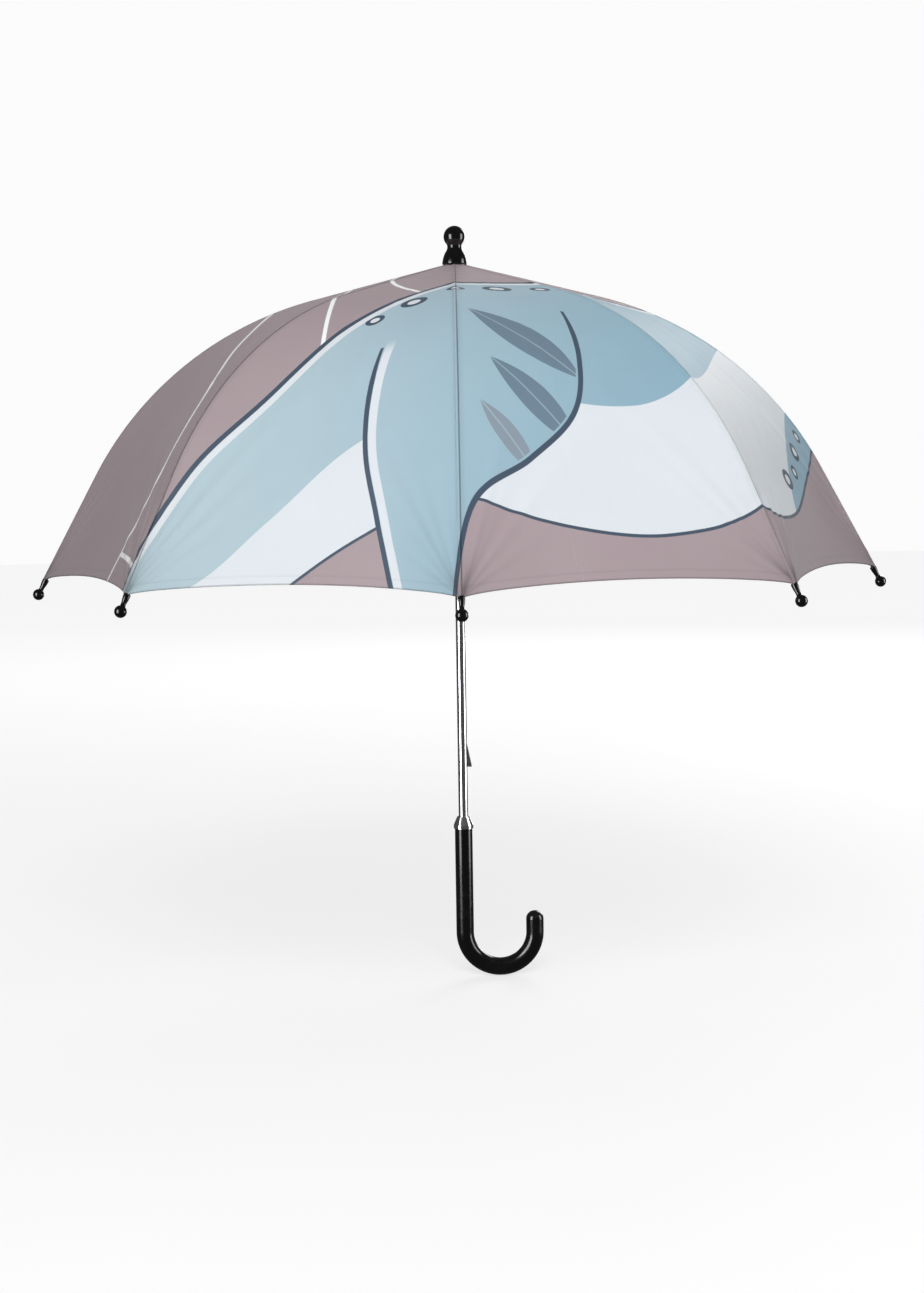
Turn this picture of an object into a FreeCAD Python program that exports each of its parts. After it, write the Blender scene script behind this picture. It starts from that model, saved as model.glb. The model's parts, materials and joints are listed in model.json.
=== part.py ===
import FreeCAD, Part
import math
import os
import Sketcher

# A children's stick umbrella, open and upright. Millimetres.
# Z runs up the shaft and Z = 0 is the lowest point of the crook handle.
# Rib 1 points towards -Y and the ribs are numbered anticlockwise from above.
# Panel k of the canopy lies between rib k and rib k + 1.

SIZES = {
    # canopy outline: a straight run off the crown, one round bend, a straight run to the tip
    "rib_count": 8,
    "apex_z": 608.0,
    "tip_radius": 358.0,
    "tip_z": 334.0,
    "bend_centre_x": 49.5,
    "bend_centre_z": 293.9,
    "bend_radius": 290.4,
    "cloth_lift": 2.3,
    "cloth_thick": 0.8,
    "cloth_start": 6.5,
    "cloth_short": 20.0,
    "rib_strip": 2.8,
    "split_gap": 0.3,
    # how far a cut runs past the solid, and how far one pad runs into the next
    "cut_past": 1.0,
    "pad_lap": 3.0,
    # folding frame: both pivots and both arms are equal, so the runner stays on the shaft
    "pivot_radius": 9.0,
    "crown_pivot_z": 597.0,
    "arm_length": 190.0,
    "folded_slope": 87.2,
    "folded_tip_radius": 22.0,
    "channel_half": 1.2,
    "channel_web": 0.5,
    "rib_width": 2.3,
    "rib_inside": 1.3,
    "stretcher_width": 3.7,
    "stretcher_inside": 2.5,
    "eye_radius": 2.0,
    "eye_thick": 1.2,
    "tongue_thick": 1.0,
    "neck_length": 9.0,
    "cheek_radius": 1.7,
    "cheek_open": 2.8,
    "tongue_length": 7.0,
    "web_start": 5.0,
    "wire_radius": 0.5,
    "rivet_radius": 0.6,
    "rivet_head_radius": 1.3,
    "rivet_head_thick": 0.5,
    "running_gap": 0.05,
    "tip_play": 0.2,
    # shaft and the two spring catches in it
    "shaft_radius": 4.0,
    "shaft_wall": 0.5,
    "shaft_foot": 86.0,
    "shaft_head": 620.0,
    "catch_thick": 1.6,
    "catch_slot": 2.2,
    "catch_length": 34.0,
    "catch_reach": 7.8,
    "catch_gap": 0.4,
    "catch_play": 0.6,
    "catch_root_cover": 8.0,
    "catch_inset": 0.2,
    "catch_inner": 2.0,
    "catch_back": 1.0,
    "catch_nose": 1.0,
    "catch_leaf": 11.0,
    # crown at the head of the shaft and the runner that slides below it
    "hub_radius": 12.5,
    "slot_root": 6.6,
    "slot_width": 1.5,
    "groove_radius": 8.5,
    "crown_foot": 590.0,
    "crown_slot_top": 599.6,
    "washer_radius": 15.5,
    "washer_thick": 0.5,
    "washer_gap": 0.5,
    "runner_top": 5.0,
    "runner_slot_depth": 2.4,
    "runner_neck": 7.0,
    "runner_length": 45.0,
    "barrel_radius": 6.6,
    "flange_radius": 8.6,
    "flange_height": 4.0,
    "flange_slope": 1.5,
    "neck_slope": 6.0,
    "window_width": 2.8,
    "window_foot": 8.0,
    "window_height": 23.0,
    # finial
    "finial_radius": 9.9,
    "finial_skirt": 2.0,
    "finial_shoulder_radius": 7.9,
    "finial_shoulder": 7.4,
    "finial_collar_radius": 7.2,
    "finial_collar": 10.2,
    "finial_neck_radius": 5.5,
    "finial_neck": 11.6,
    "finial_ball_radius": 9.1,
    "finial_ball_height": 21.5,
    "finial_hub_radius": 5.2,
    "finial_gap": 0.3,
    "finial_bulge_in": 0.45,
    "finial_bulge_up": 0.3,
    "finial_step": 0.4,
    # rib tips
    "tip_ball_radius": 4.75,
    "tip_stem_radius": 2.4,
    "tip_bore_radius": 1.7,
    "tip_stem_length": 14.0,
    "tip_bore_end": 5.0,
    # crook handle and its collar
    "handle_radius": 7.5,
    "handle_top": 128.0,
    "crook_radius": 30.0,
    "crook_leg": 18.0,
    "crook_round": 7.0,
    "handle_round": 1.5,
    "collar_radius": 8.4,
    "collar_step": 3.0,
    "collar_height": 10.0,
    "collar_top_radius": 5.4,
    # closing strap, sewn outside the hem of the rear panel strap_panel
    "strap_panel": 4,
    "strap_length": 96.0,
    "strap_width": 16.0,
    "strap_thick": 1.0,
    "strap_hem": 3.0,
    "strap_gap": 0.4,
}

DOC = FreeCAD.newDocument("umbrella")
SHEET = DOC.addObject("Spreadsheet::Sheet", "Sizes")
for row, (alias, number) in enumerate(SIZES.items(), start=1):
    SHEET.set(f"A{row}", alias)
    SHEET.set(f"B{row}", str(number))
    SHEET.setAlias(f"B{row}", alias)
DOC.recompute()

PARTS = []
Y_AXIS = FreeCAD.Vector(0, 1, 0)
Z_AXIS = FreeCAD.Vector(0, 0, 1)
RADIAL_PLANE = "XZ_Plane"
FLAT_PLANE = "XY_Plane"
SIDE_PLANE = "YZ_Plane"


def size(alias):
    """A driving dimension, read from the sheet."""
    return float(SHEET.get(alias))


def value(expression):
    """The number that an expression on the sheet's cells comes to."""
    return float(SHEET.evalExpression(expression.replace("Sizes.", "")))


# ---- the line that a rib follows, as distance out from the shaft's axis and height ----


class BentLine:
    """A straight run, a round bend and a second straight run, each tangent to the next.

    It leaves start, goes round a circle, and ends at stop. A place on it is given by
    its distance along the line, and by how far it stands off the outer side."""

    def __init__(self, start, stop, centre, radius):
        self.start = start
        self.centre = centre
        self.radius = radius
        self.first_slope = self.tangent_slope(start, 1)
        self.last_slope = self.tangent_slope(stop, -1)
        self.first = self.tangent_length(start)
        self.bend = radius * (self.last_slope - self.first_slope)
        self.length = self.first + self.bend + self.tangent_length(stop)

    def tangent_length(self, point):
        away = math.dist(point, self.centre)
        return math.sqrt(away**2 - self.radius**2)

    def tangent_slope(self, point, side):
        away = math.dist(point, self.centre)
        bearing = math.atan2(point[0] - self.centre[0], point[1] - self.centre[1])
        return bearing + side * math.acos(self.radius / away)

    def slope(self, along):
        turned = min(max(along - self.first, 0.0), self.bend)
        return self.first_slope + turned / self.radius

    def point(self, along, off=0.0):
        """Distance from the axis and height at a distance along the line."""
        slope = self.slope(along)
        past = along - self.first - min(max(along - self.first, 0.0), self.bend)
        reach = self.radius + off
        out = self.centre[0] + reach * math.sin(slope) + past * math.cos(slope)
        up = self.centre[1] + reach * math.cos(slope) - past * math.sin(slope)
        return out, up

    def along_to(self, distance):
        """Distance along the line to the point of the bend this far from its start."""
        away = math.dist(self.start, self.centre)
        bearing = math.atan2(self.start[0] - self.centre[0], self.start[1] - self.centre[1])
        square = away**2 + self.radius**2 - distance**2
        turned = bearing + math.acos(square / (2 * away * self.radius)) - self.first_slope
        return self.first + turned * self.radius

    def band(self, start, stop, low, high, squeeze=1.0):
        """Closed outline of the strip between two places and two offsets.

        squeeze scales every distance from the axis."""
        marks = [self.first, self.first + self.bend]
        stations = [start] + [m for m in marks if start < m < stop] + [stop]

        def place(along, off):
            out, up = self.point(along, off)
            return out * squeeze, up

        spans = []
        for a, b in zip(stations, stations[1:]):
            round_span = self.first <= (a + b) / 2 <= self.first + self.bend
            spans.append((a, b, (a + b) / 2 if round_span else None))
        edges = []
        for a, b, middle in spans:
            over = None if middle is None else place(middle, high)
            edges.append((place(a, high), over, place(b, high)))
        edges.append((place(stop, high), None, place(stop, low)))
        for a, b, middle in reversed(spans):
            under = None if middle is None else place(middle, low)
            edges.append((place(b, low), under, place(a, low)))
        edges.append((place(start, low), None, place(start, high)))
        return edges


RIB_PITCH = 360.0 / size("rib_count")
MID_PANEL = math.cos(math.radians(RIB_PITCH / 2))
BEND_CENTRE = (size("bend_centre_x"), size("bend_centre_z"))
CROWN_PIVOT = (size("pivot_radius"), size("crown_pivot_z"))
RIB_LINE = BentLine(
    CROWN_PIVOT,
    (size("tip_radius"), size("tip_z")),
    BEND_CENTRE,
    size("bend_radius"),
)
TIP_SLOPE = RIB_LINE.last_slope
CLOTH_LINE = BentLine(
    (0.0, size("apex_z")),
    RIB_LINE.point(RIB_LINE.length, size("cloth_lift")),
    BEND_CENTRE,
    size("bend_radius") + size("cloth_lift"),
)
JOINT_ALONG = RIB_LINE.along_to(size("arm_length"))
JOINT = RIB_LINE.point(JOINT_ALONG)
CLOTH_SPLIT = CLOTH_LINE.first + (
    (RIB_LINE.slope(JOINT_ALONG) - CLOTH_LINE.first_slope) * CLOTH_LINE.radius
)
ARM_SLOPE = math.asin((CROWN_PIVOT[1] - JOINT[1]) / size("arm_length"))
RUNNER_Z = 2 * JOINT[1] - CROWN_PIVOT[1]
FOLDED_RUNNER_Z = CROWN_PIVOT[1] - 2 * size("arm_length") * math.sin(
    math.radians(size("folded_slope"))
)

# sizes worked out from the driving ones, put in the sheet for features to use
WORKED_SIZES = {
    "runner_z": RUNNER_Z,
    "folded_runner_z": FOLDED_RUNNER_Z,
    "cloth_fall": math.tan(CLOTH_LINE.first_slope),
    "cloth_depth": size("cloth_thick") / math.cos(CLOTH_LINE.first_slope),
}
for row, (alias, number) in enumerate(WORKED_SIZES.items(), start=len(SIZES) + 1):
    SHEET.set(f"A{row}", alias)
    SHEET.set(f"B{row}", str(round(number, 6)))
    SHEET.setAlias(f"B{row}", alias)
DOC.recompute()


# ---- short ways to write bodies, sketches and features ----


def new_body(label):
    body = DOC.addObject("PartDesign::Body", label)
    body.Label = label
    return body


def new_sketch(body, role, height=None):
    """A sketch on one of the body's own planes, lifted by an expression if it has one."""
    sketch = body.newObject("Sketcher::SketchObject", "Outline")
    plane = next(o for o in body.Origin.OriginFeatures if o.Role == role)
    sketch.AttachmentSupport = [(plane, "")]
    sketch.MapMode = "FlatFace"
    if height is not None:
        sketch.setExpression("AttachmentOffset.Base.z", height)
    return sketch


def bind(sketch, constraint, expression):
    """Adds a constraint whose value follows an expression."""
    index = sketch.addConstraint(constraint)
    sketch.setExpression(f"Constraints[{index}]", expression)


def draw_polygon(sketch, corners):
    """Closed run of straight edges, each corner bound to an (x, y) pair of expressions."""
    spots = [FreeCAD.Vector(value(x), value(y), 0) for x, y in corners]
    first = sketch.GeometryCount
    for a, b in zip(spots, spots[1:] + spots[:1]):
        sketch.addGeometry(Part.LineSegment(a, b), False)
    count = len(corners)
    for i, (x, y) in enumerate(corners):
        edge = first + i
        following = first + (i + 1) % count
        sketch.addConstraint(Sketcher.Constraint("Coincident", edge, 2, following, 1))
        bind(sketch, Sketcher.Constraint("DistanceX", edge, 1, spots[i].x), x)
        bind(sketch, Sketcher.Constraint("DistanceY", edge, 1, spots[i].y), y)


def draw_box(sketch, x_low, x_high, y_low, y_high):
    """Rectangle between four expressions."""
    low_side = [(x_low, y_low), (x_high, y_low)]
    draw_polygon(sketch, low_side + [(x_high, y_high), (x_low, y_high)])


def draw_circle(sketch, x, y, radius):
    """Circle whose centre and radius are expressions."""
    centre = FreeCAD.Vector(value(x), value(y), 0)
    edge = sketch.addGeometry(Part.Circle(centre, Z_AXIS, value(radius)), False)
    bind(sketch, Sketcher.Constraint("Radius", edge, value(radius)), radius)
    bind(sketch, Sketcher.Constraint("DistanceX", edge, 3, centre.x), x)
    bind(sketch, Sketcher.Constraint("DistanceY", edge, 3, centre.y), y)


def draw_edges(sketch, edges):
    """Closed run of worked-out edges, (start, middle or None, end), held where they are."""
    first = sketch.GeometryCount
    for start, middle, end in edges:
        a = FreeCAD.Vector(*start, 0)
        b = FreeCAD.Vector(*end, 0)
        if middle is None:
            sketch.addGeometry(Part.LineSegment(a, b), False)
        else:
            sketch.addGeometry(Part.Arc(a, FreeCAD.Vector(*middle, 0), b), False)
    for i in range(len(edges)):
        sketch.addConstraint(Sketcher.Constraint("Block", first + i))


def draw_disc(sketch, centre, radius):
    """Circle at a worked-out place, its radius bound to an expression."""
    spot = FreeCAD.Vector(*centre, 0)
    edge = sketch.addGeometry(Part.Circle(spot, Z_AXIS, value(radius)), False)
    bind(sketch, Sketcher.Constraint("Radius", edge, value(radius)), radius)
    sketch.addConstraint(Sketcher.Constraint("DistanceX", edge, 3, spot.x))
    sketch.addConstraint(Sketcher.Constraint("DistanceY", edge, 3, spot.y))


def add_pad(body, sketch, length, centred=False, kind="PartDesign::Pad", reverse=False):
    """Pad or pocket of a sketch, as deep as an expression."""
    feature = body.newObject(kind, "Depth")
    feature.Profile = sketch
    feature.setExpression("Length", length)
    if centred:
        feature.Midplane = True
    feature.Reversed = reverse
    return feature


def add_pocket(body, sketch, length, centred=False, reverse=False):
    """A pocket, checked to have taken something away."""
    before = body.Shape.Volume
    feature = add_pad(body, sketch, length, centred, "PartDesign::Pocket", reverse)
    DOC.recompute()
    if body.Shape.Volume > before - 1e-6:
        raise ValueError(f"{body.Label}: a pocket cuts nothing")
    return feature


def add_turn(body, sketch, axis="V_Axis", kind="PartDesign::Revolution"):
    """Full turn of a sketch about one of its own axes."""
    feature = body.newObject(kind, "Turn")
    feature.Profile = sketch
    feature.ReferenceAxis = (sketch, [axis])
    feature.Angle = 360.0
    return feature


def repeat_round(body, feature, first_sketch):
    """Repeats a cut once for each rib."""
    pattern = body.newObject("PartDesign::PolarPattern", "Round")
    pattern.Originals = [feature]
    pattern.Axis = (first_sketch, ["N_Axis"])
    pattern.Angle = 360.0
    pattern.setExpression("Occurrences", "Sizes.rib_count")
    body.Tip = pattern
    return pattern


def turned(azimuth):
    """Placement that turns the +X radial plane to an azimuth in degrees."""
    return FreeCAD.Placement(FreeCAD.Vector(), FreeCAD.Rotation(Z_AXIS, azimuth))


def rib_azimuth(number):
    return -90.0 + RIB_PITCH * (number - 1)


def panel_azimuth(number):
    return rib_azimuth(number) + RIB_PITCH / 2


def keep(item):
    PARTS.append(item)
    return item


# ---- shaft, crown, finial and handle ----


def make_shaft():
    """Thin steel tube with a slot for each spring catch."""
    body = new_body("shaft_tube")
    ring = new_sketch(body, FLAT_PLANE, "Sizes.shaft_foot")
    draw_circle(ring, "0", "0", "Sizes.shaft_radius")
    draw_circle(ring, "0", "0", "Sizes.shaft_radius - Sizes.shaft_wall")
    add_pad(body, ring, "Sizes.shaft_head - Sizes.shaft_foot")
    DOC.recompute()
    slots = new_sketch(body, SIDE_PLANE)
    half = "Sizes.catch_slot / 2"
    for foot, head in (open_catch_span(), closed_catch_span()):
        draw_box(slots, f"-{half}", half, foot, head)
    add_pocket(body, slots, "Sizes.shaft_radius * 2", reverse=True)
    return keep(body)


def open_catch_span():
    """Foot and head of the shaft's slot for the catch that holds the runner up."""
    shoulder = "Sizes.runner_z - Sizes.runner_length - Sizes.catch_gap"
    foot = f"{shoulder} - Sizes.catch_length + Sizes.catch_root_cover"
    return foot, f"{shoulder} + Sizes.catch_play"


def closed_catch_span():
    """Foot and head of the shaft's slot for the catch that holds the runner down."""
    shoulder = (
        "Sizes.folded_runner_z - Sizes.runner_length"
        " + Sizes.window_foot + Sizes.catch_gap"
    )
    head = f"{shoulder} + Sizes.catch_length - Sizes.catch_root_cover"
    return f"{shoulder} - Sizes.catch_play", head


def make_catch(label, shoulder, way):
    """Leaf spring with a sloping back, which sits in the tube and stands out of its slot.

    way is + where the leaf's root lies above its shoulder, and - where it lies below."""
    body = new_body(label)
    side = new_sketch(body, RADIAL_PLANE)
    root = f"{shoulder} {way} Sizes.catch_length"
    leaf = "Sizes.shaft_radius - Sizes.shaft_wall - Sizes.catch_inset"
    corners = [
        ("Sizes.catch_inner", shoulder),
        ("Sizes.catch_reach", shoulder),
        ("Sizes.catch_reach", f"{shoulder} {way} Sizes.catch_nose"),
        (leaf, f"{shoulder} {way} (Sizes.catch_length - Sizes.catch_leaf)"),
        (leaf, root),
        ("Sizes.catch_back", root),
    ]
    draw_polygon(side, corners)
    add_pad(body, side, "Sizes.catch_thick", centred=True)
    return keep(body)


def crown_top(radius, lift="0"):
    """Height of the cone under the cloth at a radius, as an expression."""
    return (
        f"Sizes.apex_z - Sizes.cloth_depth - Sizes.washer_gap - Sizes.washer_thick"
        f" - Sizes.cloth_fall * ({radius}) + {lift}"
    )


def cut_hub(body, groove_z, slot_z, slot_depth, reverse):
    """Cuts a wire groove round a hub and a slot across it for every rib."""
    groove = new_sketch(body, RADIAL_PLANE)
    low = f"{groove_z} - Sizes.wire_radius"
    high = f"{groove_z} + Sizes.wire_radius"
    past = "Sizes.hub_radius + Sizes.cut_past"
    draw_box(groove, "Sizes.groove_radius", past, low, high)
    add_turn(body, groove, kind="PartDesign::Groove")
    DOC.recompute()
    slot = new_sketch(body, FLAT_PLANE, slot_z)
    half = "Sizes.slot_width / 2"
    draw_box(slot, "Sizes.slot_root", past, f"-{half}", half)
    cut = add_pocket(body, slot, slot_depth, reverse=reverse)
    repeat_round(body, cut, slot)


def make_crown():
    """Notched hub, pressed on the head of the shaft, that the ribs hinge in."""
    body = new_body("crown")
    section = new_sketch(body, RADIAL_PLANE)
    corners = [
        ("Sizes.shaft_radius", "Sizes.crown_foot"),
        ("Sizes.hub_radius", "Sizes.crown_foot"),
        ("Sizes.hub_radius", crown_top("Sizes.hub_radius")),
        ("Sizes.shaft_radius", crown_top("Sizes.shaft_radius")),
    ]
    draw_polygon(section, corners)
    add_turn(body, section)
    DOC.recompute()
    depth = "Sizes.crown_slot_top - Sizes.crown_foot + Sizes.cut_past"
    cut_hub(body, "Sizes.crown_pivot_z", "Sizes.crown_slot_top", depth, False)
    return keep(body)


def make_wire(label, height):
    """Wire ring that every rib or stretcher eye is threaded on."""
    ring = DOC.addObject("Part::Torus", label)
    ring.Label = label
    ring.setExpression("Radius1", "Sizes.pivot_radius")
    ring.setExpression("Radius2", "Sizes.wire_radius")
    ring.setExpression("Placement.Base.z", height)
    return keep(ring)


def make_washer():
    """Thin dished disc of cloth between the crown and the canopy."""
    body = new_body("canopy_washer")
    section = new_sketch(body, RADIAL_PLANE)
    thick = "Sizes.washer_thick"
    corners = [
        ("Sizes.shaft_radius", crown_top("Sizes.shaft_radius")),
        ("Sizes.washer_radius", crown_top("Sizes.washer_radius")),
        ("Sizes.washer_radius", crown_top("Sizes.washer_radius", thick)),
        ("Sizes.shaft_radius", crown_top("Sizes.shaft_radius", thick)),
    ]
    draw_polygon(section, corners)
    add_turn(body, section)
    return keep(body)


def make_finial():
    """Round knob on a bell-shaped foot, bored for the head of the shaft."""
    body = new_body("finial")
    section = new_sketch(body, RADIAL_PLANE)
    apex = size("apex_z")
    fall = math.tan(CLOTH_LINE.first_slope)
    bore = size("shaft_radius")
    hub = size("finial_hub_radius")
    rim = size("finial_radius")
    ball = size("finial_ball_radius")
    ball_z = apex + size("finial_ball_height")
    neck = size("finial_neck_radius")
    ball_foot = ball_z - math.sqrt(ball**2 - neck**2)
    neck_z = apex + size("finial_neck")
    collar = size("finial_collar_radius")
    collar_z = apex + size("finial_collar")
    shoulder = (size("finial_shoulder_radius"), apex + size("finial_shoulder"))
    skirt = (rim, apex + size("finial_skirt"))
    halfway = (skirt[1] + shoulder[1]) / 2
    bulge = (rim - size("finial_bulge_in"), halfway + size("finial_bulge_up"))
    washer_top = apex - WORKED_SIZES["cloth_depth"] - size("washer_gap")
    above_cloth = apex + size("finial_gap")
    head = size("shaft_head")
    flank = math.radians(30)
    ball_side = (ball * math.cos(flank), ball_z + ball * math.sin(flank))
    corners = [
        ((0.0, head), None),
        ((bore, head), None),
        ((bore, washer_top - fall * bore), None),
        ((hub, washer_top - fall * hub), None),
        ((hub, above_cloth - fall * hub), None),
        ((rim, above_cloth - fall * rim), None),
        (skirt, bulge),
        (shoulder, None),
        ((collar, shoulder[1] + size("finial_step")), None),
        ((collar, collar_z), None),
        ((neck, neck_z), None),
        ((neck, ball_foot), ball_side),
        ((0.0, ball_z + ball), None),
    ]
    edges = []
    for i, (spot, middle) in enumerate(corners):
        edges.append((spot, middle, corners[(i + 1) % len(corners)][0]))
    draw_edges(section, edges)
    add_turn(body, section)
    return keep(body)


def make_handle():
    """Solid crook: a round bar that runs down, turns up through half a circle and ends."""
    body = new_body("handle")
    section = new_sketch(body, FLAT_PLANE, "Sizes.handle_top")
    draw_circle(section, "0", "0", "Sizes.handle_radius")
    spine = new_sketch(body, RADIAL_PLANE)
    crook = size("crook_radius")
    turn_z = crook + size("handle_radius")
    end_z = turn_z + size("crook_leg")
    runs = [
        ((0.0, size("handle_top")), None, (0.0, turn_z)),
        ((0.0, turn_z), (crook, turn_z - crook), (2 * crook, turn_z)),
        ((2 * crook, turn_z), None, (2 * crook, end_z)),
    ]
    draw_edges(spine, runs)
    pipe = body.newObject("PartDesign::AdditivePipe", "Bar")
    pipe.Profile = section
    pipe.Spine = spine
    DOC.recompute()
    ends = []
    for i, edge in enumerate(pipe.Shape.Edges, start=1):
        middle = edge.CenterOfMass
        if abs(middle.z - end_z) < 0.01 and abs(middle.x - 2 * crook) < 0.01:
            ends.append(f"Edge{i}")
    dome = body.newObject("PartDesign::Fillet", "Dome")
    dome.Base = (pipe, ends)
    dome.setExpression("Radius", "Sizes.crook_round")
    DOC.recompute()
    socket = new_sketch(body, FLAT_PLANE, "Sizes.handle_top")
    draw_circle(socket, "0", "0", "Sizes.shaft_radius")
    add_pocket(body, socket, "Sizes.handle_top - Sizes.shaft_foot")
    return keep(body)


def make_collar():
    """Metal ferrule that covers the joint of handle and shaft."""
    body = new_body("handle_collar")
    section = new_sketch(body, RADIAL_PLANE)
    foot = "Sizes.handle_top"
    corners = [
        ("Sizes.shaft_radius", foot),
        ("Sizes.collar_radius", foot),
        ("Sizes.collar_radius", f"{foot} + Sizes.collar_step"),
        ("Sizes.collar_top_radius", f"{foot} + Sizes.collar_height"),
        ("Sizes.shaft_radius", f"{foot} + Sizes.collar_height"),
    ]
    draw_polygon(section, corners)
    add_turn(body, section)
    return keep(body)


# ---- runner ----


def make_runner():
    """Sliding sleeve with a notched head for the stretchers and a window for the catch."""
    body = new_body("runner")
    section = new_sketch(body, RADIAL_PLANE)
    bore = "Sizes.shaft_radius + Sizes.running_gap"
    foot = "Sizes.runner_z - Sizes.runner_length"
    neck = "Sizes.runner_z - Sizes.runner_neck"
    head = "Sizes.runner_z + Sizes.runner_top"
    corners = [
        (bore, foot),
        ("Sizes.flange_radius", foot),
        ("Sizes.flange_radius", f"{foot} + Sizes.flange_height"),
        ("Sizes.barrel_radius", f"{foot} + Sizes.flange_height + Sizes.flange_slope"),
        ("Sizes.barrel_radius", f"{neck} - Sizes.neck_slope"),
        ("Sizes.hub_radius", neck),
        ("Sizes.hub_radius", head),
        (bore, head),
    ]
    draw_polygon(section, corners)
    add_turn(body, section)
    DOC.recompute()
    depth = "Sizes.runner_top + Sizes.runner_slot_depth"
    cut_hub(body, "Sizes.runner_z", head, depth, False)
    DOC.recompute()
    window = new_sketch(body, SIDE_PLANE)
    half = "Sizes.window_width / 2"
    low = f"{foot} + Sizes.window_foot"
    draw_box(window, f"-{half}", half, low, f"{low} + Sizes.window_height")
    add_pocket(body, window, "Sizes.hub_radius", reverse=True)
    return keep(body)


# ---- ribs, stretchers and tips ----


def cut_channel(body, outline, inside):
    """Hollows a padded strip into a channel section."""
    sketch = new_sketch(body, RADIAL_PLANE)
    draw_edges(sketch, outline)
    add_pocket(body, sketch, inside, centred=True)


def bore_across(body, holes):
    """Drills round holes across the radial plane, (centre, radius expression) each."""
    sketch = new_sketch(body, RADIAL_PLANE)
    for centre, radius in holes:
        draw_disc(sketch, centre, radius)
    add_pocket(body, sketch, "Sizes.stretcher_width * 2", centred=True)


def pad_across(body, outline, discs, width):
    """Pads a strip, and then each disc at its ends, equally to both sides."""
    for shape in [outline] + discs:
        sketch = new_sketch(body, RADIAL_PLANE)
        if isinstance(shape, list):
            draw_edges(sketch, shape)
        else:
            draw_disc(sketch, *shape)
        add_pad(body, sketch, width, centred=True)
    DOC.recompute()


def make_rib_inner(number):
    """Rib from the crown to the stretcher joint, an open channel with a flat eye."""
    body = new_body(f"rib_{number}_inner")
    half = size("channel_half")
    web = half - size("channel_web")
    neck = size("neck_length")
    cheek = (JOINT, "Sizes.cheek_radius")
    outline = RIB_LINE.band(neck, JOINT_ALONG, -half, half)
    pad_across(body, outline, [cheek], "Sizes.rib_width")
    past = size("cut_past")
    below = -half - past
    stop = JOINT_ALONG + size("cheek_radius") + past
    cut_channel(body, RIB_LINE.band(neck - past, stop, below, web), "Sizes.rib_inside")
    gap = JOINT_ALONG - size("cheek_open")
    cut_channel(body, RIB_LINE.band(gap, stop, below, half + past), "Sizes.rib_inside")
    eye = (CROWN_PIVOT, "Sizes.eye_radius")
    flat = RIB_LINE.band(0.0, neck + size("pad_lap"), -half, half)
    pad_across(body, flat, [eye], "Sizes.eye_thick")
    pin = "Sizes.rivet_radius + Sizes.running_gap"
    wire = "Sizes.wire_radius + Sizes.running_gap"
    bore_across(body, [(CROWN_PIVOT, wire), (JOINT, pin)])
    body.Placement = turned(rib_azimuth(number))
    return keep(body)


def make_rib_outer(number):
    """Rib from the stretcher joint to the tip, an open channel with a flat tongue."""
    body = new_body(f"rib_{number}_outer")
    half = size("channel_half")
    web = half - size("channel_web")
    start = JOINT_ALONG + size("tongue_length")
    stop = RIB_LINE.length - size("tip_bore_end") - size("tip_play")
    outline = RIB_LINE.band(start, stop, -half, half)
    pad_across(body, outline, [], "Sizes.rib_width")
    past = size("cut_past")
    hollow = RIB_LINE.band(start - past, stop + past, -half - past, web)
    cut_channel(body, hollow, "Sizes.rib_inside")
    tongue = RIB_LINE.band(JOINT_ALONG, start + size("pad_lap"), -half, half)
    pad_across(body, tongue, [(JOINT, "Sizes.cheek_radius")], "Sizes.tongue_thick")
    bore_across(body, [(JOINT, "Sizes.rivet_radius + Sizes.running_gap")])
    body.Placement = turned(rib_azimuth(number))
    return keep(body)


def make_stretcher_bar(number):
    """Stretcher along its own X axis, from the runner's wire to the rib joint."""
    body = new_body(f"stretcher_bar_{number}")
    far_end = (size("arm_length"), 0.0)
    bar = new_sketch(body, RADIAL_PLANE)
    low_half = "-Sizes.channel_half"
    draw_box(bar, "Sizes.neck_length", "Sizes.arm_length", low_half, "Sizes.channel_half")
    add_pad(body, bar, "Sizes.stretcher_width", centred=True)
    end = new_sketch(body, RADIAL_PLANE)
    draw_disc(end, far_end, "Sizes.cheek_radius")
    add_pad(body, end, "Sizes.stretcher_width", centred=True)
    DOC.recompute()
    hollow = new_sketch(body, RADIAL_PLANE)
    below = "-Sizes.channel_half - Sizes.cut_past"
    above = "Sizes.channel_half + Sizes.cut_past"
    web = "Sizes.channel_half - Sizes.channel_web"
    open_from = "Sizes.arm_length - Sizes.web_start"
    near_end = "Sizes.neck_length - Sizes.cut_past"
    past_end = "Sizes.arm_length + Sizes.cheek_radius + Sizes.cut_past"
    corners = [
        (near_end, below),
        (past_end, below),
        (past_end, above),
        (open_from, above),
        (open_from, web),
        (near_end, web),
    ]
    draw_polygon(hollow, corners)
    add_pocket(body, hollow, "Sizes.stretcher_inside", centred=True)
    neck_bar = new_sketch(body, RADIAL_PLANE)
    neck_end = "Sizes.neck_length + Sizes.pad_lap"
    draw_box(neck_bar, "0", neck_end, low_half, "Sizes.channel_half")
    add_pad(body, neck_bar, "Sizes.eye_thick", centred=True)
    eye = new_sketch(body, RADIAL_PLANE)
    draw_circle(eye, "0", "0", "Sizes.eye_radius")
    add_pad(body, eye, "Sizes.eye_thick", centred=True)
    DOC.recompute()
    wire = ((0.0, 0.0), "Sizes.wire_radius + Sizes.running_gap")
    bore_across(body, [wire, (far_end, "Sizes.rivet_radius")])
    return body


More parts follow.
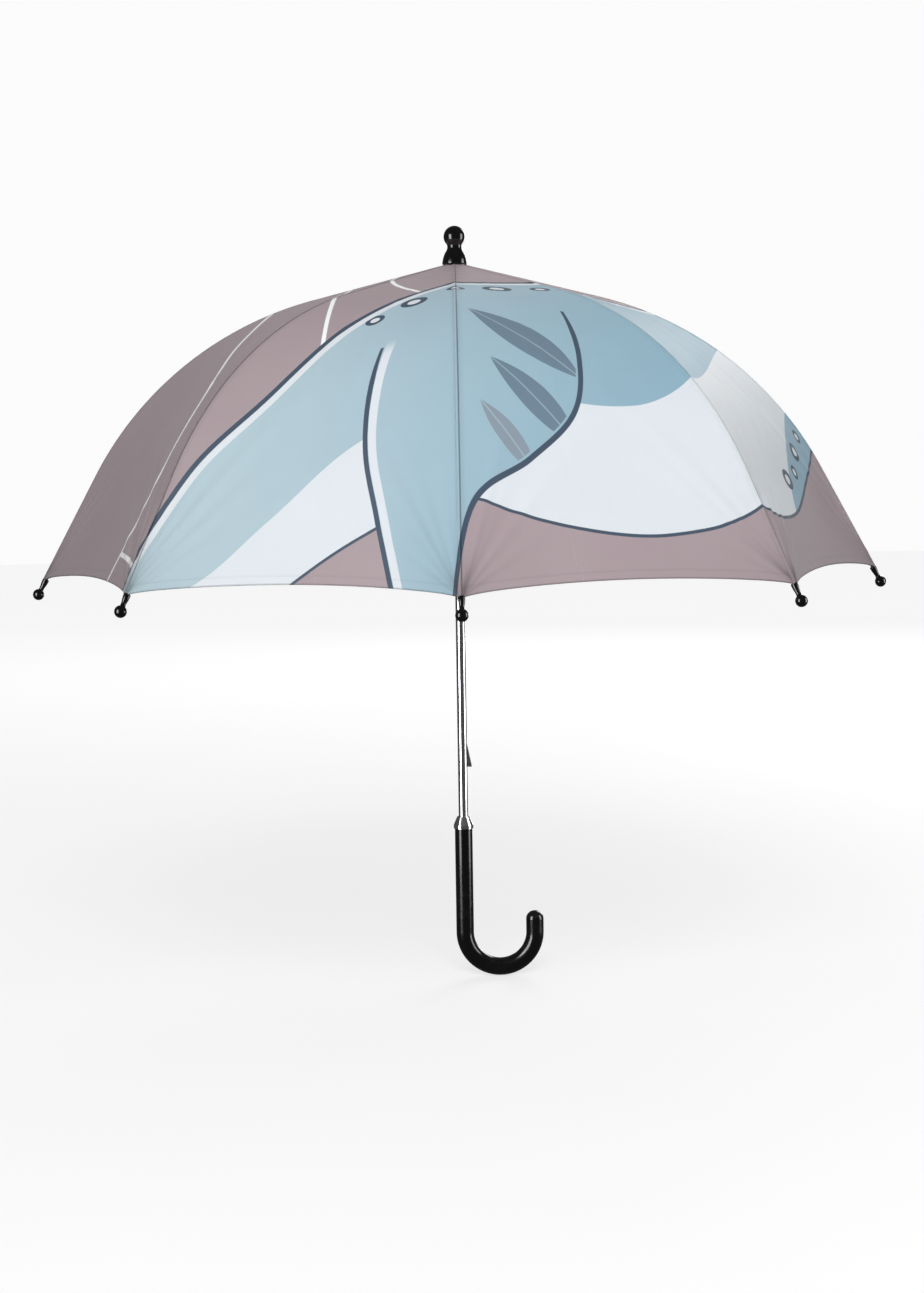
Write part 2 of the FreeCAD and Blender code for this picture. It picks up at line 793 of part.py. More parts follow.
def make_rivet(number):
    """Rivet through the rib joint: a pin with two flat heads, along the local Y axis."""
    body = new_body(f"rivet_{number}")
    section = new_sketch(body, SIDE_PLANE)
    pin = "Sizes.rivet_radius"
    head = "Sizes.rivet_head_radius"
    inner = "Sizes.stretcher_width / 2"
    outer = "(Sizes.stretcher_width / 2 + Sizes.rivet_head_thick)"
    corners = [
        (f"-{outer}", "0"),
        (outer, "0"),
        (outer, head),
        (inner, head),
        (inner, pin),
        (f"-{inner}", pin),
        (f"-{inner}", head),
        (f"-{outer}", head),
    ]
    draw_polygon(section, corners)
    add_turn(body, section, axis="H_Axis")
    body.setExpression("Placement.Base.x", "Sizes.arm_length")
    return body


def make_stretcher(number):
    """A stretcher with the rivet that joins it to its rib."""
    pair = DOC.addObject("Part::Compound", f"stretcher_{number}")
    pair.Label = f"stretcher_{number}"
    pair.Links = [make_stretcher_bar(number), make_rivet(number)]
    lean = FreeCAD.Placement(
        FreeCAD.Vector(size("pivot_radius"), 0, RUNNER_Z),
        FreeCAD.Rotation(Y_AXIS, -math.degrees(ARM_SLOPE)),
    )
    pair.Placement = turned(rib_azimuth(number)).multiply(lean)
    return keep(pair)


def make_tip(number):
    """Round tip on a stem that is bored for the end of the rib."""
    body = new_body(f"rib_{number}_tip")
    section = new_sketch(body, RADIAL_PLANE)
    ball = size("tip_ball_radius")
    stem = size("tip_stem_radius")
    bore = size("tip_bore_radius")
    stem_end = -size("tip_stem_length")
    bore_end = -size("tip_bore_end")
    ball_foot = -math.sqrt(ball**2 - stem**2)
    edges = [
        ((bore_end, 0.0), None, (bore_end, bore)),
        ((bore_end, bore), None, (stem_end, bore)),
        ((stem_end, bore), None, (stem_end, stem)),
        ((stem_end, stem), None, (ball_foot, stem)),
        ((ball_foot, stem), (0.0, ball), (ball, 0.0)),
        ((ball, 0.0), None, (bore_end, 0.0)),
    ]
    draw_edges(section, edges)
    add_turn(body, section, axis="H_Axis")
    lean = FreeCAD.Placement(
        FreeCAD.Vector(size("tip_radius"), 0, size("tip_z")),
        FreeCAD.Rotation(Y_AXIS, math.degrees(TIP_SLOPE)),
    )
    body.Placement = turned(rib_azimuth(number)).multiply(lean)
    return keep(body)


# ---- canopy ----


def make_panel(number, half_name, start, stop):
    """Upper or lower half of one canopy panel.

    It is a strip in the panel's middle plane, widened straight across to the ribs and
    trimmed beside them."""
    body = new_body(f"panel_{number}_{half_name}")
    strip = new_sketch(body, RADIAL_PLANE)
    outline = CLOTH_LINE.band(start, stop, -size("cloth_thick"), 0.0, MID_PANEL)
    draw_edges(strip, outline)
    add_pad(body, strip, "Sizes.tip_radius", centred=True)
    DOC.recompute()
    trim = new_sketch(body, FLAT_PLANE)
    spread = math.tan(math.radians(RIB_PITCH / 2))
    inset = size("rib_strip") / MID_PANEL
    near = inset / spread
    past = size("cut_past")
    far = size("tip_radius") + past
    for side in (-1, 1):
        wide = side * far
        corners = [(near, 0.0), (far, side * (far * spread - inset)), (far, wide)]
        corners += [(-past, wide), (-past, 0.0)]
        edges = []
        for i, corner in enumerate(corners):
            edges.append((corner, None, corners[(i + 1) % len(corners)]))
        draw_edges(trim, edges)
    cut = body.newObject("PartDesign::Pocket", "Trim")
    cut.Profile = trim
    cut.Type = "ThroughAll"
    cut.Reversed = True
    body.Placement = turned(panel_azimuth(number))
    return keep(body)


def make_strap():
    """Flat closing strap that lies just outside a rear panel, from its hem up."""
    body = new_body("closing_strap")
    strip = new_sketch(body, RADIAL_PLANE)
    hem = CLOTH_LINE.length - size("cloth_short") - size("strap_hem")
    low = size("strap_gap")
    high = low + size("strap_thick")
    outline = CLOTH_LINE.band(hem - size("strap_length"), hem, low, high, MID_PANEL)
    draw_edges(strip, outline)
    add_pad(body, strip, "Sizes.strap_width", centred=True)
    body.Placement = turned(panel_azimuth(size("strap_panel")))
    return keep(body)


def make_umbrella():
    make_shaft()
    open_shoulder = "Sizes.runner_z - Sizes.runner_length - Sizes.catch_gap"
    make_catch("open_catch", open_shoulder, "-")
    folded_foot = "Sizes.folded_runner_z - Sizes.runner_length"
    closed_shoulder = f"{folded_foot} + Sizes.window_foot + Sizes.catch_gap"
    make_catch("closed_catch", closed_shoulder, "+")
    make_crown()
    make_wire("crown_wire", "Sizes.crown_pivot_z")
    make_washer()
    make_finial()
    make_handle()
    make_collar()
    make_runner()
    make_wire("runner_wire", "Sizes.runner_z")
    split = size("split_gap") / 2
    hem = CLOTH_LINE.length - size("cloth_short")
    for number in range(1, int(size("rib_count")) + 1):
        make_rib_inner(number)
        make_rib_outer(number)
        make_stretcher(number)
        make_tip(number)
        make_panel(number, "upper", size("cloth_start"), CLOTH_SPLIT - split)
        make_panel(number, "lower", CLOTH_SPLIT + split, hem)
    make_strap()


def check_and_write():
    """Stops on any failed object or bad shape, then writes one file for each part."""
    DOC.recompute()
    failed = [o.Name for o in DOC.Objects if {"Invalid", "Error"} & set(o.State)]
    if failed:
        raise ValueError(f"failed objects: {failed}")
    for item in PARTS:
        if item.Shape.isNull() or not item.Shape.isValid():
            raise ValueError(f"bad shape: {item.Label}")
    os.makedirs("parts", exist_ok=True)
    for item in PARTS:
        item.Shape.exportStep(f"parts/{item.Label}.step")
        print(item.Label, round(item.Shape.Volume, 2), len(item.Shape.Solids))


make_umbrella()
check_and_write()
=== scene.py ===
import json
import math
import bmesh
import bpy
import numpy as np
from mathutils import Matrix, Vector


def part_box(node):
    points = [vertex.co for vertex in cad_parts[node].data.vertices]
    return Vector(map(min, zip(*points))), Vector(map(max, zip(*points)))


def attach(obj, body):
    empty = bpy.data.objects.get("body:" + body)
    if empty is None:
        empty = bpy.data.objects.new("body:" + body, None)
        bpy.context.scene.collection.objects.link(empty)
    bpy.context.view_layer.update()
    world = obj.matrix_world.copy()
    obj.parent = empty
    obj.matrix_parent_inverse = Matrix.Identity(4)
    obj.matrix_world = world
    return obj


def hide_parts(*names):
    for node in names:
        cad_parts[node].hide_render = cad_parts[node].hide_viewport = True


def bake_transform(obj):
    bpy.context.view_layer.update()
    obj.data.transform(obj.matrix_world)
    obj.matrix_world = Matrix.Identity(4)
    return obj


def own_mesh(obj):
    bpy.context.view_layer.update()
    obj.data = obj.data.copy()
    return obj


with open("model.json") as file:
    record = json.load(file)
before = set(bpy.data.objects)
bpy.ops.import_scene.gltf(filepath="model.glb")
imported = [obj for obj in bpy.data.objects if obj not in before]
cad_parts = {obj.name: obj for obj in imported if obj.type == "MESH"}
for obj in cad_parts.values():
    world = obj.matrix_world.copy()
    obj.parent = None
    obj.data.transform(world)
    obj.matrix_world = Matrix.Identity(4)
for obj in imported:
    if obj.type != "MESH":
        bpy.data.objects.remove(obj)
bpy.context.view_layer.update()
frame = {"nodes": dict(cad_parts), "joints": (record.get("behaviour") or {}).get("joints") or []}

# A children's stick umbrella. Metres; Z runs up the shaft, rib 1 points towards -Y, and
# panel k of the canopy lies between rib k and rib k + 1.

# ---- sizes, from the frame where it holds them ----

JOINT_AT = {joint["name"]: joint["pos_m"] for joint in frame["joints"]}
RIB_COUNT = 8
RIB_NUMBERS = range(1, RIB_COUNT + 1)
RIB_TURN = math.tau / RIB_COUNT
MIDDLE = math.cos(RIB_TURN / 2)
SPREAD = math.sin(RIB_TURN / 2)
TIP_LOW, TIP_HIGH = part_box("rib_3_tip")
BALL_RADIUS = (TIP_HIGH.y - TIP_LOW.y) / 2
TIP = (TIP_HIGH.x - BALL_RADIUS, TIP_LOW.z + BALL_RADIUS)
APEX_UP = 0.608  # where the seams' lines would meet over the shaft
BEND_CENTRE = (0.0495, 0.2939)  # of a rib's round bend, out from the shaft and up
BEND_RADIUS = 0.2904
CLOTH_LIFT = 0.0023  # of the cloth over a rib's line
CLOTH_THICK = 0.00035
CLOTH_TOP = 0.0085  # the cloth's inner edge, along the seam from the apex
CORNER_SHORT = 0.0128  # the lower corners stop this far before a rib's end
HEM_ARCH = 0.0088
HEM_DIP = 0.0022
HEM_TURN = 0.008
HEM_ROLL = 0.0005  # radius of the hem's folded edge
INWARD_SAG = 0.0032
FOLD_DEPTH = 0.0032
SEAM_LEFT = 0.0030
SEAM_RIGHT = 0.0011
SEAM_RAISE = 0.00030

# the upper half of a panel runs on under the lower: distance past the joint, and depth
HALVES_LAP = 0.003
LAP_PAST = np.array([0.0003, 0.0015, HALVES_LAP])
LAP_DEPTH = np.array([0.000004, 0.0003, 0.00045])


def out_and_up(spot):
    """Distance from the shaft's axis, and height."""
    return math.hypot(spot[0], spot[1]), spot[2]


ELBOW = out_and_up(JOINT_AT["rib_1_bend"])
SPLIT = out_and_up(JOINT_AT["panel_1_bend"])


class SideLine:
    """Side view of a rib or a seam: a straight run, one round bend, and a straight run.

    Both runs are tangent to the bend. A place is given by its distance along the line and
    by how far it stands off, and comes out as distance from the shaft and height."""

    def __init__(self, start, stop, centre, radius):
        self.centre, self.radius = centre, radius
        self.first_slope = self.tangent(start, 1)
        self.last_slope = self.tangent(stop, -1)
        self.first = self.run(start)
        self.bend = radius * (self.last_slope - self.first_slope)
        self.length = self.first + self.bend + self.run(stop)

    def run(self, point):
        """Length of the straight run from an end point to the bend, by Pythagoras."""
        return math.sqrt(math.dist(point, self.centre) ** 2 - self.radius**2)

    def tangent(self, point, side):
        """Slope of the run from an end point: where it touches the bend, as an angle
        about the bend's centre, on the side of the bend that the run meets."""
        bearing = math.atan2(point[0] - self.centre[0], point[1] - self.centre[1])
        return bearing + side * math.acos(self.radius / math.dist(point, self.centre))

    def slope(self, along):
        """Angle below level, which grows evenly with the distance round the bend."""
        return self.first_slope + np.clip(along - self.first, 0, self.bend) / self.radius

    def place(self, along, off=0.0):
        """Distance from the shaft and height: the bend's centre, plus the radius at right
        angles to the slope, plus what is left of a straight run along the slope."""
        slope = self.slope(along)
        past = along - self.first - np.clip(along - self.first, 0, self.bend)
        reach = self.radius + off
        out = self.centre[0] + reach * np.sin(slope) + past * np.cos(slope)
        return out, self.centre[1] + reach * np.cos(slope) - past * np.sin(slope)


PIVOT = out_and_up(JOINT_AT["rib_1_fold"])
RIB = SideLine(PIVOT, TIP, BEND_CENTRE, BEND_RADIUS)
CLOTH_END = RIB.place(RIB.length, CLOTH_LIFT)
SEAM = SideLine((0.0, APEX_UP), CLOTH_END, BEND_CENTRE, BEND_RADIUS + CLOTH_LIFT)
SEAM_END = SEAM.length - CORNER_SHORT
SPLIT_ALONG = SEAM.first + SEAM.radius * (
    math.asin((SPLIT[0] / MIDDLE - BEND_CENTRE[0]) / SEAM.radius) - SEAM.first_slope
)


# ---- shader building ----


class Value:
    """A number or colour inside one finish. Python's operators on it add Math nodes."""

    def __init__(self, finish, socket):
        self.finish, self.socket = finish, socket

    def math(self, operation, *others):
        """A Math node on this value and any others."""
        inputs = dict(enumerate((self,) + others))
        return self.finish.node("Math", {"operation": operation}, inputs)

    def __add__(self, other):
        return self.math("ADD", other)

    def __sub__(self, other):
        return self.math("SUBTRACT", other)

    def __rsub__(self, other):
        return self.math("MULTIPLY", -1.0) + other

    def __mul__(self, other):
        return self.math("MULTIPLY", other)

    def __truediv__(self, other):
        return self.math("DIVIDE", other)

    def __abs__(self):
        return self.math("ABSOLUTE")

    __radd__ = __add__
    __rmul__ = __mul__

    def above(self, edge, soft=0.0003):
        """1 where the value is past an edge, 0 before it, with a soft step between."""
        ends = {"From Min": edge - soft, "From Max": edge + soft}
        settings = {"interpolation_type": "SMOOTHSTEP"}
        return self.finish.node("MapRange", settings, {"Value": self, **ends})

    def within(self, half, soft=0.0003):
        """1 where the value is nearer to nought than half, and 0 elsewhere."""
        return 1 - abs(self).above(half, soft)


class Finish:
    """A material, or the studio's surroundings, in the making."""

    def __init__(self, name, owner=None):
        self.material = owner or bpy.data.materials.new(name)
        self.material.use_nodes = True
        self.tree = self.material.node_tree
        self.tree.nodes.clear()

    def node(self, kind, settings=None, inputs=None, output=0):
        """Any node: its settings are set first, then its sockets get values or links."""
        made = self.tree.nodes.new("ShaderNode" + kind)
        for name, setting in (settings or {}).items():
            setattr(made, name, setting)
        for name, given in (inputs or {}).items():
            if isinstance(given, Value):
                self.tree.links.new(given.socket, made.inputs[name])
            else:
                made.inputs[name].default_value = given
        return Value(self, made.outputs[output] if len(made.outputs) else None)

    def mix(self, share, plain, other):
        """One colour blended into another by a share."""
        inputs = {0: share, 6: plain, 7: other}  # a Mix node's factor and two colours
        return self.node("Mix", {"data_type": "RGBA"}, inputs, 2)

    def shade(self, colour, share):
        """A colour darkened or lightened by a varying number."""
        grey = self.node("CombineColor", None, {0: share, 1: share, 2: share})
        settings = {"data_type": "RGBA", "blend_type": "MULTIPLY"}
        return self.node("Mix", settings, {0: 1.0, 6: colour, 7: grey}, 2)

    def place(self):
        """Place on the object, in metres."""
        return self.node("TexCoord", output=3)

    def noise(self, scale, detail=2.0, rough=0.5, stretch=None):
        """Noise from 0 to 1, in cycles a metre, stretched along an axis if asked."""
        spot = self.place()
        if stretch:
            spot = self.node("Mapping", None, {0: spot, 3: stretch})
        inputs = {"Vector": spot, "Scale": scale, "Detail": detail, "Roughness": rough}
        return self.node("TexNoise", None, inputs)

    def attribute(self, name, part=2):
        """A stored value of the mesh's points: part 2 is a number, and part 1 a vector."""
        return self.node("Attribute", {"attribute_name": name}, output=part)

    def split(self, vector):
        """The three numbers of a vector."""
        made = self.node("SeparateXYZ", None, {0: vector})
        node = made.socket.node
        return [Value(self, node.outputs[i]) for i in range(3)]

    def bump(self, height, strength, distance, under=None):
        """Relief from a height, laid over another relief if one is given."""
        inputs = {"Height": height, "Strength": strength, "Distance": distance}
        if under:
            inputs["Normal"] = under
        return self.node("Bump", None, inputs)

    def done(self, **sockets):
        """Ends the finish with one Principled shader."""
        named = {name.replace("_", " "): given for name, given in sockets.items()}
        shader = self.node("BsdfPrincipled", None, named)
        self.node("OutputMaterial", None, {"Surface": shader})
        return self.material


def screen(red, green, blue):
    """Colour as a screen shows it, 0 to 255, turned into light."""
    levels = [c / 255 for c in (red, green, blue)]
    light = [c / 12.92 if c <= 0.04045 else ((c + 0.055) / 1.055) ** 2.4 for c in levels]
    return (*light, 1.0)


# ---- plastics and metals ----


def black_gloss(name, rough=0.12):
    """Moulded gloss plastic with faint flow marks and rubbed spots."""
    f = Finish(name)
    wear = f.noise(90, 4).above(0.62, 0.12)
    haze = f.noise(900, 3)
    tone = f.mix(wear, screen(6, 6, 7), screen(12, 12, 14))
    rough_map = f.noise(260, 3) * 0.10 + wear * 0.10 + rough
    relief = f.bump(haze, 0.05, 0.0001)
    return f.done(
        Base_Color=tone,
        Roughness=rough_map,
        Normal=relief,
        Coat_Weight=0.25,
        Coat_Roughness=0.04,
    )


def bright_plate(name, rough=0.10):
    """Polished plated steel: drawn lines along the tube and faint finger haze."""
    f = Finish(name)
    drawn = f.noise(1500, 2, 0.6, stretch=(1.0, 1.0, 0.01))
    haze = f.noise(60, 4).above(0.55, 0.2)
    rough_map = drawn * 0.05 + haze * 0.04 + rough
    tone = f.mix(haze, screen(232, 232, 234), screen(212, 213, 217))
    relief = f.bump(drawn, 0.01, 0.00002)
    return f.done(Base_Color=tone, Metallic=1.0, Roughness=rough_map, Normal=relief)


def dull_steel(name):
    """Spring steel and wire with grinding marks and a little brown at the edges."""
    f = Finish(name)
    ground = f.noise(2200, 3, 0.6, stretch=(1.0, 1.0, 0.05))
    stain = f.noise(350, 4).above(0.66, 0.1)
    tone = f.mix(stain, screen(176, 177, 180), screen(140, 132, 122))
    rough_map = ground * 0.2 + stain * 0.2 + 0.22
    relief = f.bump(ground, 0.08, 0.00005)
    return f.done(Base_Color=tone, Metallic=1.0, Roughness=rough_map, Normal=relief)


def black_enamel(name):
    """Thin black enamel on steel channel, with worn bright specks on the edges."""
    f = Finish(name)
    peel = f.noise(1400, 2)
    bare = f.noise(420, 5, 0.7).above(0.74, 0.03)
    tone = f.mix(bare, screen(26, 26, 29), screen(150, 150, 152))
    rough_map = f.noise(500, 3) * 0.15 + 0.22
    relief = f.bump(peel, 0.12, 0.00008)
    return f.done(Base_Color=tone, Metallic=bare * 0.9, Roughness=rough_map, Normal=relief)


def black_moulding(name):
    """Crown and runner plastic: satin, finely textured."""
    f = Finish(name)
    grain = f.noise(3200, 3)
    tone = f.mix(f.noise(140, 3), screen(20, 20, 22), screen(34, 34, 37))
    relief = f.bump(grain, 0.15, 0.00006)
    return f.done(
        Base_Color=tone, Roughness=f.noise(300, 3) * 0.15 + 0.28, Normal=relief
    )


# ---- the print, drawn on a flat map of the canopy ----
#
# The map is the canopy laid flat: a place x along the seam of rib k lies x metres from
# the middle, in the rib's own direction, and runs straight across to the next seam.

MAUVE = screen(167, 153, 157)
MAUVE_DEEP = screen(155, 139, 144)
SKY = screen(170, 191, 200)
SKY_DEEP = screen(136, 169, 186)
SNOW = screen(212, 218, 223)
CHALK = screen(240, 242, 243)
INK = screen(66, 81, 98)
SLATE = screen(104, 125, 142)
SLATE_PALE = screen(132, 146, 158)
INSIDE_TONE = screen(204, 204, 209)

# smooth curves through a few points, in millimetres: right, and towards the back
CURVES = {
    # the long hill's ridge, from the left hem, over the middle, to the back right hem
    "ridge": [(-395, -340), (-330, -312), (-240, -262), (-158, -226), (-88, -168),
              (-30, -120), (8, -92), (70, -64), (140, -28), (196, 50), (224, 150),
              (236, 280), (240, 460)],
    # the hill's foot: along the front hem, up the right side and round to the back
    "foot": [(-330, -420), (-178, -391), (-85, -379), (10, -382), (104, -369),
             (200, -338), (283, -282), (334, -180), (350, -60), (352, 60),
             (346, 180), (330, 300), (330, 470)],
    # left and right banks of the stream that runs down to the front hem
    "left_bank": [(-20, -120), (-60, -212), (-80, -300), (-76, -370), (-58, -480)],
    "right_bank": [(60, -60), (86, -146), (101, -215), (98, -275), (62, -330),
                   (12, -386), (-10, -480)],
    # lower edge of the left slope, and both edges of the snow field on the right
    "drift": [(-420, -330), (-272, -350), (-180, -332), (-90, -304), (0, -296)],
    "field": [(60, -262), (104, -262), (160, -240), (198, -196), (216, -130),
              (232, -20), (252, 100), (276, 220), (290, 460)],
    "rim": [(352, -230), (330, -150), (316, -70), (313, 20), (318, 120), (322, 220),
            (318, 330), (310, 470)],
    # thin hill outlines on the plain ground
    "far_ridge": [(-470, -250), (-362, -236), (-272, -214), (-222, -172), (-190, -92),
                  (-163, -10), (-152, 70), (-168, 170), (-140, 260), (-60, 330),
                  (0, 480)],
    "near_spur": [(-356, -180), (-338, -230), (-322, -282), (-312, -330)],
    "middle_spur": [(-118, -240), (-110, -185), (-100, -100), (-90, 0), (-60, 90),
                    (20, 150), (110, 150), (190, 110), (260, 90)],
    "top_spur": [(-8, -160), (-28, -120), (-52, -64), (-50, 0), (-10, 46), (60, 56),
                 (130, 30), (190, 0)],
    # a second hill on the back left panels
    "back_hill": [(-480, 40), (-390, 66), (-318, 120), (-262, 200), (-196, 262),
                  (-110, 330), (-40, 420), (-20, 480)],
    "back_drift": [(-480, 150), (-400, 172), (-330, 226), (-268, 300), (-180, 372),
                   (-120, 480)],
}
CURVE_STEPS = 12


def smooth_curve(knots):
    """Catmull-Rom curve: each span is a cubic whose ends lie parallel to the chord
    between the knots on either side."""
    knots = np.array(knots, float) / 1000
    ends = np.vstack([2 * knots[0] - knots[1], knots, 2 * knots[-1] - knots[-2]])
    a, b, c, d = (ends[i : len(ends) - 3 + i, None, :] for i in range(4))
    t = (np.arange(CURVE_STEPS) / CURVE_STEPS)[None, :, None]
    spans = b + 0.5 * t * (c - a + t * (2 * a - 5 * b + 4 * c - d + t * (3 * (b - c) + d - a)))
    return np.vstack([spans.reshape(-1, 2), knots[-1:]])


CURVE_LINES = {name: smooth_curve(knots) for name, knots in CURVES.items()}


def side_of(line, places):
    """Distance of each place from a line, positive on its right.

    It is the least distance to any of the line's short straight steps, and its sign comes
    from the cross product with the nearest step."""
    start, step = line[:-1], np.diff(line, axis=0)
    away = places[:, None, :] - start[None]
    share = (away * step).sum(-1) / (step**2).sum(-1)
    gap = away - np.clip(share, 0, 1)[..., None] * step
    square = (gap**2).sum(-1)
    near = square.argmin(1)
    rows = np.arange(len(places))
    cross = step[near, 1] * away[rows, near, 0] - step[near, 0] * away[rows, near, 1]
    return np.sqrt(square[rows, near]) * np.where(cross < 0, -1, 1)


def put_attribute(mesh, name, values):
    """Stores a number or a vector for each of the mesh's points."""
    kind = "FLOAT" if values.ndim == 1 else "FLOAT_VECTOR"
    layer = mesh.attributes.new(name, kind, "POINT")
    field = "value" if values.ndim == 1 else "vector"
    layer.data.foreach_set(field, values.astype(np.float32).ravel())


def paint(piece, places, sewn, gather):
    """Stores each point's place on the print, its side of every curve, its distances from
    the seam and the hem and along the seam, and how much painted shade the gathered cloth
    gets there."""
    flat = places.reshape(-1, 2)
    mesh = piece.data
    put_attribute(mesh, "print_place", np.column_stack([flat, np.zeros(len(flat))]))
    put_attribute(mesh, "sewn", sewn.reshape(-1, 3))
    put_attribute(mesh, "gather", gather.ravel())
    for name, line in CURVE_LINES.items():
        put_attribute(mesh, name, side_of(line, flat))


# half widths of the printed lines, and how far a pale line lies inside a hill's outline
BROAD_LINE = 0.0024
MIDDLE_LINE = 0.0022
FINE_LINE = 0.0018
SHORE_LINE = 0.0013
PALE_LINE = 0.0034
PALE_IN = 0.0052

# leaf blades and ringed pebbles: middle in millimetres, half length, half width, turn
BLADES = [
    ((56, -206), 56, 17.0, -33, SLATE),
    ((66, -273), 50, 14.5, -38, SLATE),
    ((44, -318), 36, 10.5, -44, SLATE_PALE),
]
PEBBLES = [
    ((-66, -168), 9, 6.5, 38),
    ((-34, -146), 12, 8.5, 32),
    ((0, -122), 8, 6.0, 26),
    ((34, -106), 13, 8.5, 22),
    ((70, -92), 9, 6.0, 18),
    ((328, -60), 11, 7.5, 96),
    ((331, -98), 8, 6.0, 88),
    ((322, -134), 13, 8.5, 78),
    ((330, -20), 8, 6.0, 95),
    ((332, 30), 12, 8.0, 92),
    ((334, 76), 8, 6.0, 88),
]


def turned_place(x, y, middle, degrees):
    """Coordinates along and across a mark that is turned about its middle."""
    cosine, sine = math.cos(math.radians(degrees)), math.sin(math.radians(degrees))
    right, back = x - middle[0] / 1000, y - middle[1] / 1000
    return right * cosine + back * sine, back * cosine - right * sine


def plain_ground(f, side):
    """Two close tones of the ground's colour, with thin hill outlines."""
    ground = f.mix(f.noise(7, 2), MAUVE, MAUVE_DEEP)
    ground = f.mix(side["far_ridge"].within(MIDDLE_LINE), ground, CHALK)
    for name in ("middle_spur", "top_spur"):
        ground = f.mix(side[name].within(FINE_LINE), ground, CHALK)
    spur = side["near_spur"].within(FINE_LINE) * side["far_ridge"].above(0)
    return f.mix(spur, ground, CHALK)


def long_hill(f, side, x, y):
    """The long hill: two blues, snow on its slopes, leaf blades, ringed pebbles, a glint
    beside the stream and a pale line inside its ridge."""
    hill = f.mix((x * 1.6 - y * 0.4).above(0.10, 0.35), SKY, SKY_DEEP)
    left_slope = side["drift"].above(0) * side["left_bank"].above(0)
    hill = f.mix(left_slope, hill, SNOW)
    field = side["field"].above(0) * (1 - side["right_bank"].above(0))
    hill = f.mix(field * (1 - side["rim"].above(0)), hill, SNOW)
    for middle, length, width, degrees, tone in BLADES:
        along, across = turned_place(x, y, middle, degrees)
        share = along / (length / 1000)
        edge = (1 - share * share) * (width / 1000) - abs(across)
        blade = edge.above(0) * side["right_bank"].above(0.004)
        vein = 1 - abs(across).above(0.0007)
        hill = f.mix(blade, hill, f.mix(vein * 0.5, tone, SKY))
    for middle, length, width, degrees in PEBBLES:
        along, across = turned_place(x, y, middle, degrees)
        far, wide = along / (length / 1000), across / (width / 1000)
        size = far * far + wide * wide
        hill = f.mix(1 - size.above(1.0, 0.05), hill, INK)
        hill = f.mix(1 - size.above(0.24, 0.05), hill, SNOW)
    glint = (side["left_bank"] + 0.0062).within(0.0036) * (-1 * y).above(0.215, 0.01)
    hill = f.mix(glint, hill, SNOW)
    return f.mix((side["ridge"] - PALE_IN).within(PALE_LINE), hill, SNOW)


def printed_colour(f):
    """The print: plain ground, a long hill with a stream, each with its outline, and a
    second hill at the back."""
    x, y, _ = f.split(f.attribute("print_place", 1))
    side = {name: f.attribute(name) for name in CURVES}
    in_stream = side["right_bank"].above(0) * (1 - side["left_bank"].above(0))
    past_foot = side["foot"].above(0) * (1 - in_stream)
    on_hill = side["ridge"].above(0) * (1 - past_foot)
    colour = f.mix(on_hill, plain_ground(f, side), long_hill(f, side, x, y))
    crest = side["ridge"].within(BROAD_LINE) * (1 - side["foot"].above(0.001))
    colour = f.mix(crest, colour, INK)
    shore = side["foot"].within(SHORE_LINE) * side["ridge"].above(0) * (1 - in_stream)
    colour = f.mix(shore, colour, INK)
    # each bank is a stroke that starts at its top and grows broader on its way down
    for name, top in (("left_bank", 0.214), ("right_bank", 0.147)):
        pen = (-1 * y - top).above(0.02, 0.02) * 0.0009 + SHORE_LINE
        stroke = (pen - abs(side[name])).above(0) * (-1 * y).above(top, 0.001)
        colour = f.mix(stroke, colour, INK)

    back = f.mix(side["back_drift"].above(0), SNOW, SKY)
    back = f.mix((side["back_hill"] + PALE_IN).within(PALE_LINE), back, SNOW)
    colour = f.mix(side["back_hill"].above(0), back, colour)
    return f.mix(side["back_hill"].within(MIDDLE_LINE), colour, INK)


WEAVE_PITCH = 0.00045
STITCH = 0.0023  # from one stitch to the next
THREAD = 0.0002  # half the width of a line of stitches
SEAM_STITCHES = -0.0019  # beside the rib's line
HEM_STITCHES = 0.0062  # up from the hem


